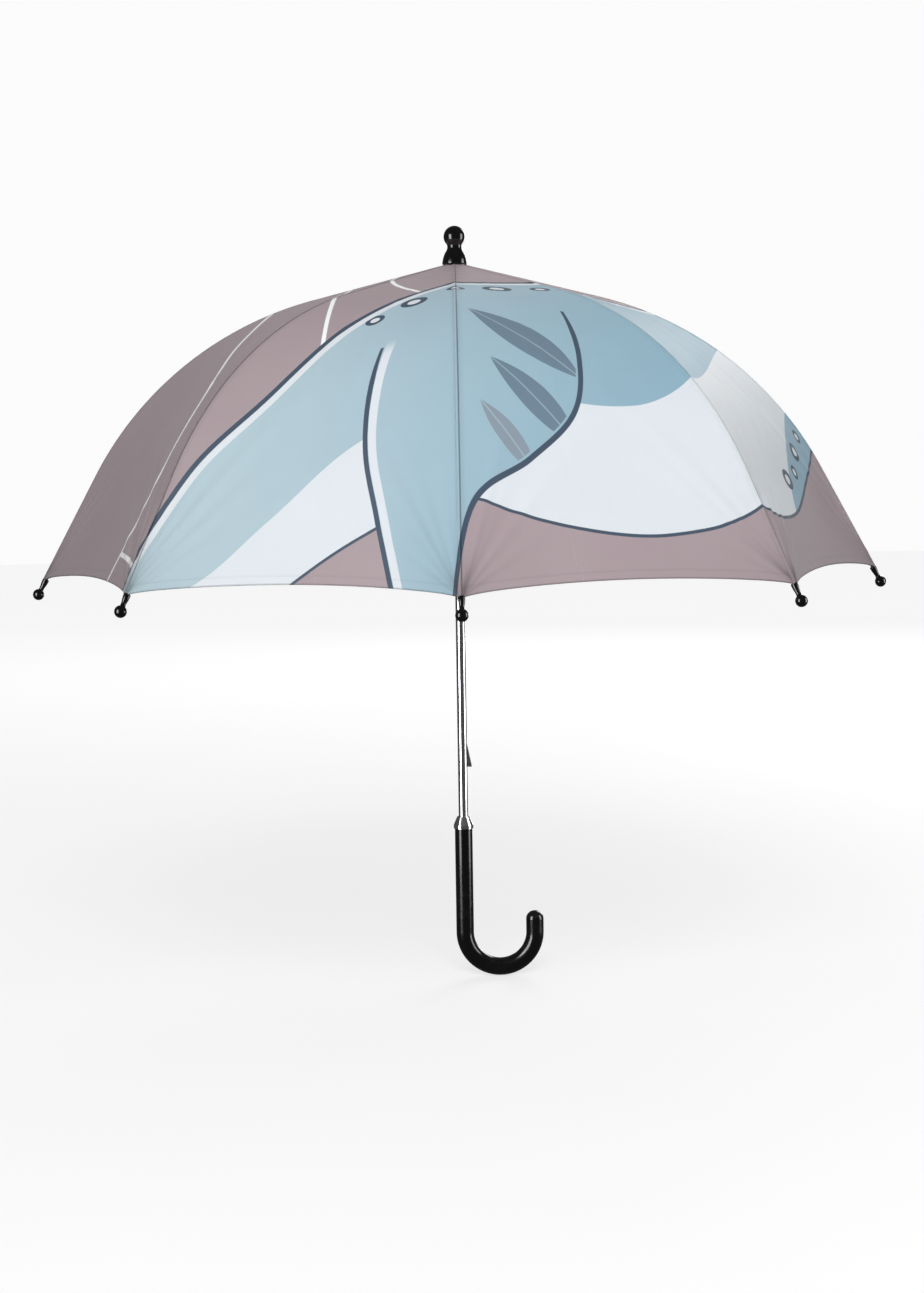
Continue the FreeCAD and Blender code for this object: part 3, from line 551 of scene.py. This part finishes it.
def cloth_finish(name, inside=False, band=False):
    """Printed woven polyester: fine weave and stitching by the hem and the seams, with
    painted shade where the cloth is gathered, beside every seam, in a seam's valley and
    over its band, on a faint line just above the hem's stitching and along the hem's
    folded edge. The reverse shows the print paler."""
    f = Finish(name)
    x, y, _ = f.split(f.attribute("print_place", 1))
    seam, hem, along = f.split(f.attribute("sewn", 1))
    colour = printed_colour(f)
    if inside:
        colour = f.mix(0.52, colour, INSIDE_TONE)
    fleck = f.noise(1100, 3, 0.6)
    mottle = f.noise(24, 4, 0.6)
    tone = fleck * 0.05 + mottle * 0.06 + 0.945
    # painted shade where the cloth gathers at the lower corners
    tone = tone * (1 - f.attribute("gather") * 0.68)
    wave = math.tau / WEAVE_PITCH
    warp = (x * wave).math("SINE")
    weft = (y * wave).math("SINE")
    weave = warp * weft * 0.5 + fleck
    if band:
        stitch = (seam - SEAM_STITCHES).within(THREAD, 0.0001)
        dash = (along * (math.tau / STITCH)).math("SINE").above(-0.3, 0.2)
        # painted shade: a dark line in the seam's valley, and the whole band a little darker
        valley_shade = (seam - 0.0003).within(0.0006, 0.0005)
        tone = tone * (1 - valley_shade * 0.58) * (1 - stitch * dash * 0.22) * 0.96
    else:
        stitch = (hem - HEM_STITCHES).within(THREAD, 0.0001)
        dash = (x * (math.tau / STITCH)).math("SINE").above(-0.3, 0.2)
        # painted shade: a faint line just above the hem's stitching, a band along the hem's
        # folded edge, and a little beside every seam
        tuck_shade = (hem - HEM_STITCHES - 0.0010).within(0.0004, 0.0003)
        turned = 1 - hem.above(0.0005, 0.0005)
        beside = 1 - seam.above(0.0035, 0.0030)
        tone = tone * (1 - stitch * dash * 0.20) * (1 - tuck_shade * 0.05)
        tone = tone * (1 - turned * 0.30) * (1 - beside * 0.10)
    colour = f.shade(colour, tone)
    relief = f.bump(weave, 0.10, 0.00012)
    relief = f.bump(stitch * dash, 0.5, 0.00025, relief)
    rough_map = f.noise(60, 3) * 0.10 + (0.62 if inside else 0.50)
    return f.done(
        Base_Color=colour,
        Roughness=rough_map,
        Normal=relief,
        Specular_IOR_Level=0.35,
        Sheen_Weight=0.12,
        Sheen_Roughness=0.4,
    )


def plain_cloth(name, tone, dark):
    """Plain woven cloth for the washer and the strap."""
    f = Finish(name)
    fleck = f.noise(1300, 3, 0.6)
    x, y, z = f.split(f.place())
    wave = math.tau / 0.0007
    weave = ((x + y) * wave).math("SINE") * (z * wave).math("SINE")
    relief = f.bump(weave + fleck, 0.2, 0.0002)
    return f.done(
        Base_Color=f.mix(fleck, tone, dark),
        Roughness=f.noise(80, 3) * 0.1 + 0.6,
        Normal=relief,
        Sheen_Weight=0.1,
    )


# ---- surfaces on grids ----


def surface(name, grid, material, around=False, flip=False, merge=0.0):
    """Mesh of square faces over a grid of points, rows by columns, closed round if asked."""
    rows, columns = grid.shape[:2]
    index = np.arange(rows * columns).reshape(rows, columns)
    if around:
        index = np.concatenate([index, index[:, :1]], 1)
    near, far = index[:-1], index[1:]
    corners = [near[:, :-1], near[:, 1:], far[:, 1:], far[:, :-1]]
    faces = np.stack(corners[::-1] if flip else corners, -1).reshape(-1, 4)
    mesh = bpy.data.meshes.new(name)
    mesh.from_pydata(grid.reshape(-1, 3).tolist(), [], faces.tolist())
    mesh.polygons.foreach_set("use_smooth", np.ones(len(faces), bool))
    mesh.materials.append(material)
    if merge:
        weld(mesh, merge)
    mesh.update()
    piece = bpy.data.objects.new(name, mesh)
    bpy.context.scene.collection.objects.link(piece)
    return piece


def weld(mesh, gap, fill=False):
    """Merges the points that lie together, as at the ends of a turned shape. If asked, it
    also fills the open rings and turns every face outwards."""
    shape = bmesh.new()
    shape.from_mesh(mesh)
    bmesh.ops.remove_doubles(shape, verts=shape.verts, dist=gap)
    if fill:
        rings = [edge for edge in shape.edges if edge.is_boundary]
        bmesh.ops.holes_fill(shape, edges=rings, sides=0)
        bmesh.ops.recalc_face_normals(shape, faces=shape.faces)
    shape.to_mesh(mesh)
    shape.free()


def arc(centre, radius, start, stop, steps):
    """Round stretch of an outline, between two angles in degrees from its first axis."""
    angle = np.radians(np.linspace(start, stop, steps))
    ring = radius * np.column_stack([np.cos(angle), np.sin(angle)])
    return np.array(centre) + ring


EASE_STEPS = 6


def eased(corners):
    """Outline through corners, (radius, height, easing): each corner is replaced by a
    quadratic curve that starts and ends the easing's distance from it."""
    spots = np.array([c[:2] for c in corners], float)
    parts = [spots[:1]]
    for i in range(1, len(corners) - 1):
        back, ahead = spots[i - 1] - spots[i], spots[i + 1] - spots[i]
        reach_back, reach_ahead = np.linalg.norm(back), np.linalg.norm(ahead)
        cut = min(corners[i][2], reach_back * 0.49, reach_ahead * 0.49)
        a = spots[i] + back / reach_back * cut
        b = spots[i] + ahead / reach_ahead * cut
        t = np.linspace(0, 1, EASE_STEPS)[:, None]
        parts.append((1 - t) ** 2 * a + 2 * t * (1 - t) * spots[i] + t**2 * b)
    parts.append(spots[-1:])
    return np.vstack(parts)


def turned_piece(name, outline, foot, axis, material, around):
    """Shape turned about an axis: each outline point, (radius, distance along the axis),
    goes round in a ring."""
    axis = np.array(axis, float)
    side = np.cross(axis, (0.0, 1.0, 0.0) if abs(axis[1]) < 0.9 else (1.0, 0.0, 0.0))
    side /= np.linalg.norm(side)
    third = np.cross(axis, side)
    angle = np.arange(around) / around * math.tau
    ring = np.cos(angle)[:, None] * side + np.sin(angle)[:, None] * third
    grid = outline[:, None, :1] * ring[None] + outline[:, None, 1:] * axis + np.array(foot)
    return surface(name, grid, material, around=True, merge=1e-6)


# ---- canopy ----

UP = np.array([0.0, 0.0, 1.0])


def heading(number, past=0.0):
    """Level unit vector from the shaft along a rib, or past it by an angle."""
    angle = -math.pi / 2 + RIB_TURN * (number - 1) + past
    return np.array([math.cos(angle), math.sin(angle), 0.0])


def panel_axes(panel):
    """Unit vectors from the shaft through the panel's middle, and across it."""
    outward = heading(panel, RIB_TURN / 2)
    return outward, np.array([-outward[1], outward[0], 0.0])


# the cloth's folds, puckers by the seams, pressed creases and slow waves
FOLD_NARROW = 0.0016  # a fold's half width at its corner
FOLD_GROWN = 0.05  # and the distance from it at which the fold is full
SEAM_HOLD = 0.003
PUCKER_PITCH = 0.0105
PUCKER_WIDE = 0.007
PUCKER_HIGH = 0.00022
CREASE_WIDE = 0.0022
CREASE_HIGH = 0.00028
WAVE_LONG = 0.11
WAVE_HIGH = 0.0005
# how far the painted shade at the gathered corners reaches
GATHER_SHADE_REACH = 0.026


def make_folds(panel):
    """The soft folds that fan out from both lower corners of a panel: for each, its angle
    from the seam, its half width as an angle, its depth and how far it reaches."""
    draw = np.random.default_rng(40 + panel)
    folds = []
    for side in (-1, 1):
        angles = np.array([0.10, 0.24, 0.42, 0.62, 0.88]) + draw.uniform(-0.04, 0.04, 5)
        widths = draw.uniform(0.030, 0.065, 5)
        depths = draw.uniform(0.5, 1.0, 5) * np.array([0.7, 1.1, 1.0, 0.7, 0.5])
        reaches = draw.uniform(0.6, 1.0, 5) * np.array([0.05, 0.10, 0.13, 0.11, 0.09])
        folds.append((side, angles, widths, depths * FOLD_DEPTH, reaches))
    creases = draw.uniform(-0.6, 0.6, 2)
    return folds, creases, draw.uniform(0, math.tau, 4)


FOLDS = {panel: make_folds(panel) for panel in RIB_NUMBERS}


def from_corner(side, across, along, half):
    """Distance from a panel's lower corner, and the angle there from its seam."""
    up, in_from = SEAM_END - along, (1 - side * across) * half
    return np.hypot(up, in_from), np.arctan2(in_from, up)


def relief(panel, across, along):
    """How far the cloth stands off the straight chord between its two seams.

    It is an inward sag, largest in the middle and growing towards the hem; ridges that run
    out from both corners at set angles, as tall as a bell curve of the angle from each;
    small puckers by the seams, as sines of the distance along; faint pressed creases; and
    slow waves. All but the creases die away at the seams, which hold the cloth."""
    out, _ = SEAM.place(along)
    half = out * SPREAD
    edge = (1 - np.abs(across)) * half
    folds, creases, phases = FOLDS[panel]
    push = -INWARD_SAG * (along / SEAM.length) * (1 - across**2)
    free = 1 - np.exp(-((edge / SEAM_HOLD) ** 2))
    for side, angles, widths, depths, reaches in folds:
        reach, angle = from_corner(side, across, along, half)
        for a, w, d, r in zip(angles, widths, depths, reaches):
            bell = np.exp(-(((angle - a) * reach / (w * reach + FOLD_NARROW)) ** 2))
            grow = np.clip(reach / FOLD_GROWN, 0, 1) * np.exp(-((reach / r) ** 1.6))
            push = push + d * bell * grow * free
    uneven = 2.2 * np.sin(along / 0.031 + phases[0])
    ripple = np.sin(along / PUCKER_PITCH * math.tau / 1.7 + uneven)
    pucker = np.exp(-((edge / PUCKER_WIDE) ** 2)) * (edge / 0.004) * PUCKER_HIGH
    push = push + ripple * pucker
    for crease in creases:
        line = np.exp(-(((across - crease) * half / CREASE_WIDE) ** 2))
        fade = np.sin(math.pi * np.clip(along / SEAM.length, 0, 1))
        push = push + CREASE_HIGH * line * fade
    slow = np.sin(along / WAVE_LONG * math.tau + phases[2]) * np.sin(across * 3 + phases[3])
    return push + WAVE_HIGH * slow * (1 - across**2) * (along / SEAM.length)


def gather_shade_at_corners(panel, across, along):
    """Painted shade of the gathered cloth at each lower corner: a little all round, most
    along one side of every fold, and fading within a few centimetres."""
    half = SEAM.place(along)[0] * SPREAD
    total = np.zeros(np.broadcast(across, along).shape)
    for side, angles, widths, depths, _ in FOLDS[panel][0]:
        reach, angle = from_corner(side, across, along, half)
        fold_flank_shade = 0
        for a, w, d in zip(angles, widths, depths):
            off = (angle - a - w) * reach / (0.6 * w * reach + 0.0009)
            fold_flank_shade = fold_flank_shade + np.exp(-(off**2)) * d / FOLD_DEPTH
        fade = np.exp(-((reach / GATHER_SHADE_REACH) ** 1.3))
        total = total + (0.25 + 0.75 * np.clip(fold_flank_shade, 0, 1)) * fade
    return np.clip(total, 0, 1)


def hem_along(across, half):
    """Distance along the seam to the hem: a shallow arch between the two corners, which
    turns down a little just beside each."""
    edge = (1 - np.abs(across)) * half
    return SEAM_END - HEM_ARCH * (1 - across**2) - HEM_DIP * (1 - np.exp(-edge / 0.010))


def cloth_point(panel, across, along, lift=0.0):
    """Point of a panel, from its share across, -1 at one seam to 1 at the next, and its
    distance along the seam. It lies on the straight chord between the two seams, moved
    outwards by the cloth's relief and by lift."""
    outward, aside = panel_axes(panel)
    out, up = SEAM.place(along)
    slope = SEAM.slope(along)
    normal_out, normal_up = np.sin(slope), MIDDLE * np.cos(slope)
    length = np.hypot(normal_out, normal_up)
    push = (relief(panel, across, along) + lift) / length
    far = out * MIDDLE + push * normal_out
    height = up + push * normal_up
    return (
        far[..., None] * outward
        + (across * out * SPREAD)[..., None] * aside
        + height[..., None] * UP
    )


def print_place(panel, across, along):
    """Place on the flat print map."""
    outward, aside = panel_axes(panel)
    far, wide = along * MIDDLE, across * along * SPREAD
    return far[..., None] * outward[:2] + wide[..., None] * aside[:2]


# shares across a panel, closer together towards both seams
ACROSS = np.linspace(-1, 1, 93)
ACROSS = ACROSS * (1 + 0.35 * (1 - ACROSS**2))
ACROSS = ACROSS / ACROSS.max()


def over_width(rows):
    """One value a row, repeated over the width of a panel's grid."""
    return np.reshape(rows, (-1, 1)) * np.ones(len(ACROSS))


def panel_half(name, panel, along, lift, reverse_rows=None):
    """One half of a panel, its print and its sewing distances, on a grid of distances
    along the seam by shares across. The rows on the reverse get no hem stitching."""
    across = np.broadcast_to(ACROSS, along.shape)
    grid = cloth_point(panel, across, along, lift)
    piece = surface(name, grid, CLOTH, flip=True)
    piece.data.materials.append(CLOTH_INSIDE)
    half = SEAM.place(along)[0] * SPREAD
    edge = (1 - np.abs(across)) * half
    hem = hem_along(across, half) - along
    if reverse_rows is not None:
        hem = np.where(reverse_rows, 1.0, hem)
    sewn = np.stack([edge, hem, along], -1)
    paint(piece, print_place(panel, across, along), sewn, gather_shade_at_corners(panel, across, along))
    wall = piece.modifiers.new("wall", "SOLIDIFY")
    wall.thickness = CLOTH_THICK
    wall.offset = -1
    wall.material_offset = 1
    wall.material_offset_rim = 0
    return piece


def cut_area(start, stop):
    """Flat area of a panel's cut between two distances along the seam."""
    along = np.linspace(start, stop, 200)
    width = 2 * SPREAD * SEAM.place(along)[0]
    return float(((width[1:] + width[:-1]) / 2 * np.diff(along)).sum())


def finish_half(piece, panel, part):
    """Hides the frame's own piece for one half of a panel, hangs the cloth on that piece's body
    and gives it a mesh of its own.
    """
    outward, aside = panel_axes(panel)
    node = f"panel_{panel}_{part}"
    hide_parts(node)
    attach(piece, node)
    anchor = outward * SPLIT[0] + UP * SPLIT[1]
    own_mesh(piece)


def make_upper_half(panel):
    """Upper half of a panel: even rows to the joint, and a few that dive under the lower."""
    even = np.linspace(CLOTH_TOP, SPLIT_ALONG, 64)
    along = over_width(np.append(even, SPLIT_ALONG + LAP_PAST))
    depth = over_width(np.append(0 * even, LAP_DEPTH))
    piece = panel_half(f"panel_{panel}_upper_cloth", panel, along, -depth)
    finish_half(piece, panel, "upper")
    width = 2 * SPREAD * SEAM.place(SPLIT_ALONG)[0]
    length = SPLIT_ALONG + HALVES_LAP - CLOTH_TOP
    area = cut_area(CLOTH_TOP, SPLIT_ALONG + HALVES_LAP)


def make_lower_half(panel):
    """Lower half of a panel: one narrow row at the joint, rows that come closer together
    towards the hem, a half turn round the hem's folded edge, and its turning inside."""
    half = SEAM.place(SEAM_END)[0] * SPREAD
    hem = hem_along(ACROSS, half)
    even = np.linspace(0, 1, 100)[1:, None]
    down = np.vstack([[[0.0]], [[0.0007]], even * (1.5 - 0.5 * even)])
    face_rows = SPLIT_ALONG + down * (hem - SPLIT_ALONG)
    turn = np.radians(np.linspace(20, 160, 7))[:, None]
    turn_rows = hem + HEM_ROLL * np.sin(turn)
    turn_lift = over_width(-HEM_ROLL * (1 - np.cos(turn)))
    under = np.linspace(0, 1, 6)[1:, None]
    under_rows = hem - under * HEM_TURN
    under_lift = over_width(-2 * HEM_ROLL - 0.0001 * under)
    along = np.vstack([face_rows, turn_rows, under_rows])
    lift = np.vstack([np.zeros_like(face_rows), turn_lift, under_lift])
    inside = np.zeros(along.shape, bool)
    inside[len(face_rows) + len(turn) // 2 :] = True
    piece = panel_half(f"panel_{panel}_lower_cloth", panel, along, lift, inside)
    finish_half(piece, panel, "lower")
    width = 2 * SPREAD * SEAM.place(SEAM_END)[0]
    length = SEAM_END + HEM_TURN - SPLIT_ALONG
    area = cut_area(SPLIT_ALONG, SEAM_END)


# a seam's band, on the panel before its rib and on the panel after it: that panel's edge,
# the places of the band's points beside the rib's line, and how far each is raised
BAND_SIDES = [
    (1, SEAM_LEFT * np.array([-1.0, -0.97, -0.90, -0.6, -0.3, 0.0]),
     SEAM_RAISE * np.array([-0.6, 0.2, 0.9, 1.0, 1.0, 0.85])),
    (-1, SEAM_RIGHT * np.array([0.30, 0.65, 0.92, 1.0]),
     SEAM_RAISE * np.array([0.55, 0.3, 0.0, -0.6])),
]
BEND_ROOM = 0.006


def make_seam(rib):
    """Lapped seam over a rib: a low flat band, wider on one side, that follows both
    panels' cloth and is raised from it by a rounded step at each edge."""
    before = (rib - 2) % RIB_COUNT + 1
    along = np.linspace(CLOTH_TOP + 0.001, SEAM_END - 0.0004, 240)[:, None]
    half = SEAM.place(along)[0] * SPREAD
    narrow = np.clip(along / 0.03, 0.35, 1)
    grids, places, beside = [], [], []
    for panel, (edge, offsets, raised) in zip((before, rib), BAND_SIDES):
        across = edge + offsets * narrow / half
        rows = along * np.ones(len(offsets))
        grids.append(cloth_point(panel, across, rows, raised))
        places.append(print_place(panel, across, rows))
        beside.append(offsets * np.ones_like(along))
    piece = surface(f"seam_{rib}", np.concatenate(grids, 1), CLOTH_BAND, flip=True)
    seam = np.concatenate(beside, 1)
    everywhere = np.ones_like(seam)
    sewn = np.stack([seam, everywhere, along * everywhere], -1)
    # painted shade on the band towards its lower corner, where the cloth gathers
    gather = 0.5 * np.exp(-(((SEAM_END - along) / 0.02) ** 1.3)) * everywhere
    paint(piece, np.concatenate(places, 1), sewn, gather)
    start = heading(rib) * (ELBOW[0] - BEND_ROOM) + UP * ELBOW[1]
    stop = heading(rib) * (ELBOW[0] + BEND_ROOM) + UP * ELBOW[1]
    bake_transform(piece)
    return piece


# ---- tips and finial ----


def make_tip(rib):
    """Ball on a waisted stem that widens towards the cloth, bored for the rib's end."""
    direction, slope = heading(rib), RIB.last_slope
    axis = direction * math.cos(slope) - UP * math.sin(slope)
    foot = direction * TIP[0] + UP * TIP[1]
    ball = arc((0, 0), BALL_RADIUS, -64, 90, 26)
    stem = eased(
        [
            (0.0, -0.0060, 0),
            (0.0017, -0.0060, 0.0002),
            (0.0017, -0.0142, 0.0002),
            (0.0024, -0.0146, 0.0003),
            (0.00275, -0.0138, 0.0006),
            (0.0026, -0.0105, 0.0016),
            (0.0019, -0.0065, 0.0016),
            (ball[0, 0], ball[0, 1], 0),
        ]
    )
    piece = turned_piece(
        f"rib_{rib}_end_ball", np.vstack([stem, ball[1:]]), foot, axis, TIP_GLOSS, 40
    )
    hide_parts(f"rib_{rib}_tip")
    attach(piece, f"rib_{rib}_outer")


def make_finial():
    """Round knob on a short waist over a bell-shaped foot."""
    low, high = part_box("finial")
    ball_radius = 0.0091
    ball_up = high.z - ball_radius
    ball = arc((0, ball_up), ball_radius, -44, 90, 30)
    head = ball_up - 0.0095
    foot = eased(
        [
            (0.0, head, 0),
            (0.0041, head, 0.0003),
            (0.0041, APEX_UP - 0.0005, 0.0002),
            (0.0098, low.z + 0.0007, 0.0003),
            (0.0106, low.z + 0.0014, 0.0006),
            (0.0105, APEX_UP - 0.0002, 0.0012),
            (0.0099, APEX_UP + 0.0034, 0.0018),
            (0.0086, APEX_UP + 0.0071, 0.0018),
            (0.0067, APEX_UP + 0.0103, 0.0016),
            (0.0060, APEX_UP + 0.0124, 0.0010),
            (0.0062, APEX_UP + 0.0142, 0.0006),
            (ball[0, 0], ball[0, 1], 0),
        ]
    )
    piece = turned_piece(
        "finial_knob", np.vstack([foot, ball[1:]]), (0, 0, 0), (0, 0, 1), TIP_GLOSS, 96
    )
    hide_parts("finial")
    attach(piece, "shaft")


# ---- closing strap ----

STRAP_PANEL = 4
STRAP_LENGTH = 0.092
STRAP_WIDTH = 0.016
STRAP_THICK = 0.00055
STRAP_STAND = 0.0011  # of its middle, over the cloth


def make_strap():
    """Closing strap: a doubled, hemmed band with a rounded free end that lies outside the
    cloth. Its section is a flattened oval, thickest along its folded border, and it is
    carried up the panel's middle in long shallow waves."""
    rows = np.linspace(0, 1, 60)[:, None]
    ring = np.linspace(0, math.tau, 48, endpoint=False)
    along = hem_along(0.0, 1.0) - 0.003 - rows * STRAP_LENGTH
    end = np.clip((1 - rows) * STRAP_LENGTH / (STRAP_WIDTH / 2), 0, 1)
    start = np.clip(rows * STRAP_LENGTH / 0.0015, 0, 1)
    width = STRAP_WIDTH / 2 * np.sqrt(1 - (1 - end) ** 2 + 1e-9)
    width = width * (0.9 + 0.1 * start)
    wide = np.sign(np.cos(ring)) * np.abs(np.cos(ring)) ** 0.35
    border = np.exp(-(((np.abs(wide) - 0.82) / 0.10) ** 2))
    thick = STRAP_THICK * np.abs(np.sin(ring)) ** 0.4 * (1 + 0.25 * border)
    lift = STRAP_STAND + np.where(np.sin(ring) > 0, thick, -thick * 0.4)
    wave = 0.00035 * (1 + np.sin(rows * 9.0)) * (0.3 + rows)
    half = SEAM.place(along)[0] * SPREAD
    along = along * np.ones(len(ring))
    grid = cloth_point(STRAP_PANEL, wide * width / half, along, lift + wave)
    piece = surface("strap_band", grid, STRAP_CLOTH, around=True)
    weld(piece.data, 1e-7, fill=True)
    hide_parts("closing_strap")
    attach(piece, f"panel_{STRAP_PANEL}_lower")


# ---- finishes on the frame's own pieces ----


def coat(nodes, material):
    """Gives each of the frame's own pieces its finish."""
    for name in nodes:
        slots = frame["nodes"][name].data.materials
        slots.clear()
        slots.append(material)


CLOTH = cloth_finish("printed_cloth")
CLOTH_INSIDE = cloth_finish("printed_cloth_reverse", inside=True)
CLOTH_BAND = cloth_finish("printed_cloth_seam", band=True)
STRAP_CLOTH = plain_cloth("strap_cloth", screen(150, 138, 143), screen(136, 124, 130))
TIP_GLOSS = black_gloss("black_gloss_tips")
HANDLE_GLOSS = black_gloss("black_gloss_handle", 0.16)
PLATE = bright_plate("bright_plate")
ENAMEL = black_enamel("black_enamel")
STEEL = dull_steel("spring_steel")
MOULDING = black_moulding("black_moulding")
WASHER_CLOTH = plain_cloth("washer_cloth", screen(34, 34, 38), screen(24, 24, 27))

coat(["shaft_tube", "handle_collar"], PLATE)
coat(["handle"], HANDLE_GLOSS)
coat(["crown", "runner"], MOULDING)
coat(["crown_wire", "runner_wire", "open_catch", "closed_catch"], STEEL)
coat(["canopy_washer"], WASHER_CLOTH)
for number in RIB_NUMBERS:
    coat([f"rib_{number}_inner", f"rib_{number}_outer", f"stretcher_{number}"], ENAMEL)
    seam = make_seam(number)
    make_upper_half(number)
    make_lower_half(number)
    make_tip(number)
make_finial()
make_strap()


# ---- camera, floor and light ----


def make_camera():
    """Camera in front of the umbrella, a little below the canopy's shoulder. It stands at
    a reach, height and bearing, and looks a little down, with a slight roll."""
    reach, height = 2.0037, 0.442
    aside, turn, dip, roll = np.radians([-0.181, -0.03, 4.509, -0.9])
    view = -(aside + turn)
    ahead = np.array(
        [math.sin(view) * math.cos(dip), math.cos(view) * math.cos(dip), -math.sin(dip)]
    )
    right = np.cross(ahead, (0, 0, 1))
    right /= np.linalg.norm(right)
    up = np.cross(right, ahead)
    level = right * math.cos(roll) + up * math.sin(roll)
    upright = up * math.cos(roll) - right * math.sin(roll)
    spot = (reach * math.sin(aside), -reach * math.cos(aside), height)
    data = bpy.data.cameras.new("camera")
    data.lens = 65.69
    data.sensor_width = 36
    camera = bpy.data.objects.new("camera", data)
    bpy.context.scene.collection.objects.link(camera)
    turned = Matrix(np.column_stack([level, upright, -ahead]).tolist()).to_4x4()
    turned.translation = spot
    camera.matrix_world = turned
    bpy.context.scene.camera = camera


def make_floor():
    """Plain pale floor, a round disc under the umbrella that fades into the backdrop."""
    f = Finish("pale_floor")
    tone = f.mix(f.noise(3, 2), screen(152, 152, 152), screen(147, 147, 147))
    away = f.node("VectorMath", {"operation": "LENGTH"}, {0: f.place()}, "Value")
    glow = f.mix(away.above(2.6, 2.4), (0.65, 0.65, 0.65, 1), (0.81, 0.81, 0.81, 1))
    material = f.done(Base_Color=tone, Roughness=0.9, Emission_Color=glow, Emission_Strength=1.0)
    outline = np.array([(0.0, -0.0002), (9.0, -0.0002)])
    piece = turned_piece("floor", outline[::-1], (0, 0, 0), (0, 0, 1), material, 96)
    piece.visible_diffuse = False
    piece.visible_glossy = False


def add_light(name, spot, aim, size, watts, glossy=False):
    """Soft box. The broad ones only light the cloth, and the tall ones only shine in the
    gloss plastic and the plated steel."""
    data = bpy.data.lights.new(name, "AREA")
    data.shape = "RECTANGLE"
    data.size, data.size_y = size
    data.energy = watts
    light = bpy.data.objects.new(name, data)
    light.location = spot
    light.rotation_mode = "QUATERNION"
    light.rotation_quaternion = (Vector(spot) - Vector(aim)).to_track_quat("Z", "Y")
    light.visible_camera = False
    light.visible_glossy = glossy
    light.visible_diffuse = not glossy
    bpy.context.scene.collection.objects.link(light)


def make_light():
    """Soft even surroundings, darker in reflections, with a key, a back and tall boxes."""
    world = bpy.data.worlds.new("studio")
    f = Finish("studio", world)
    seen = f.node("LightPath", output="Is Camera Ray")
    mirrored = f.node("LightPath", output="Is Glossy Ray")
    strength = seen * 0.62 - mirrored * 0.27 + 0.35
    glow = f.node("Background", None, {"Color": (1, 1, 1, 1), "Strength": strength})
    f.node("OutputWorld", None, {"Surface": glow})
    bpy.context.scene.world = world
    middle = (0, 0, 0.45)
    add_light("key", (0.0, -2.65, 1.95), middle, (1.4, 1.4), 78)
    add_light("back", (0.6, 3.3, 2.1), middle, (1.6, 1.6), 48)
    add_light("left_box", (-1.42, -1.32, 0.55), middle, (0.85, 1.6), 36, glossy=True)
    add_light("right_box", (1.89, -0.28, 0.55), middle, (0.80, 1.6), 22, glossy=True)
    add_light("rear_box", (0.9, 1.9, 0.9), middle, (0.5, 1.6), 14, glossy=True)


make_camera()
make_floor()
make_light()
bpy.context.scene.view_settings.view_transform = "Standard"
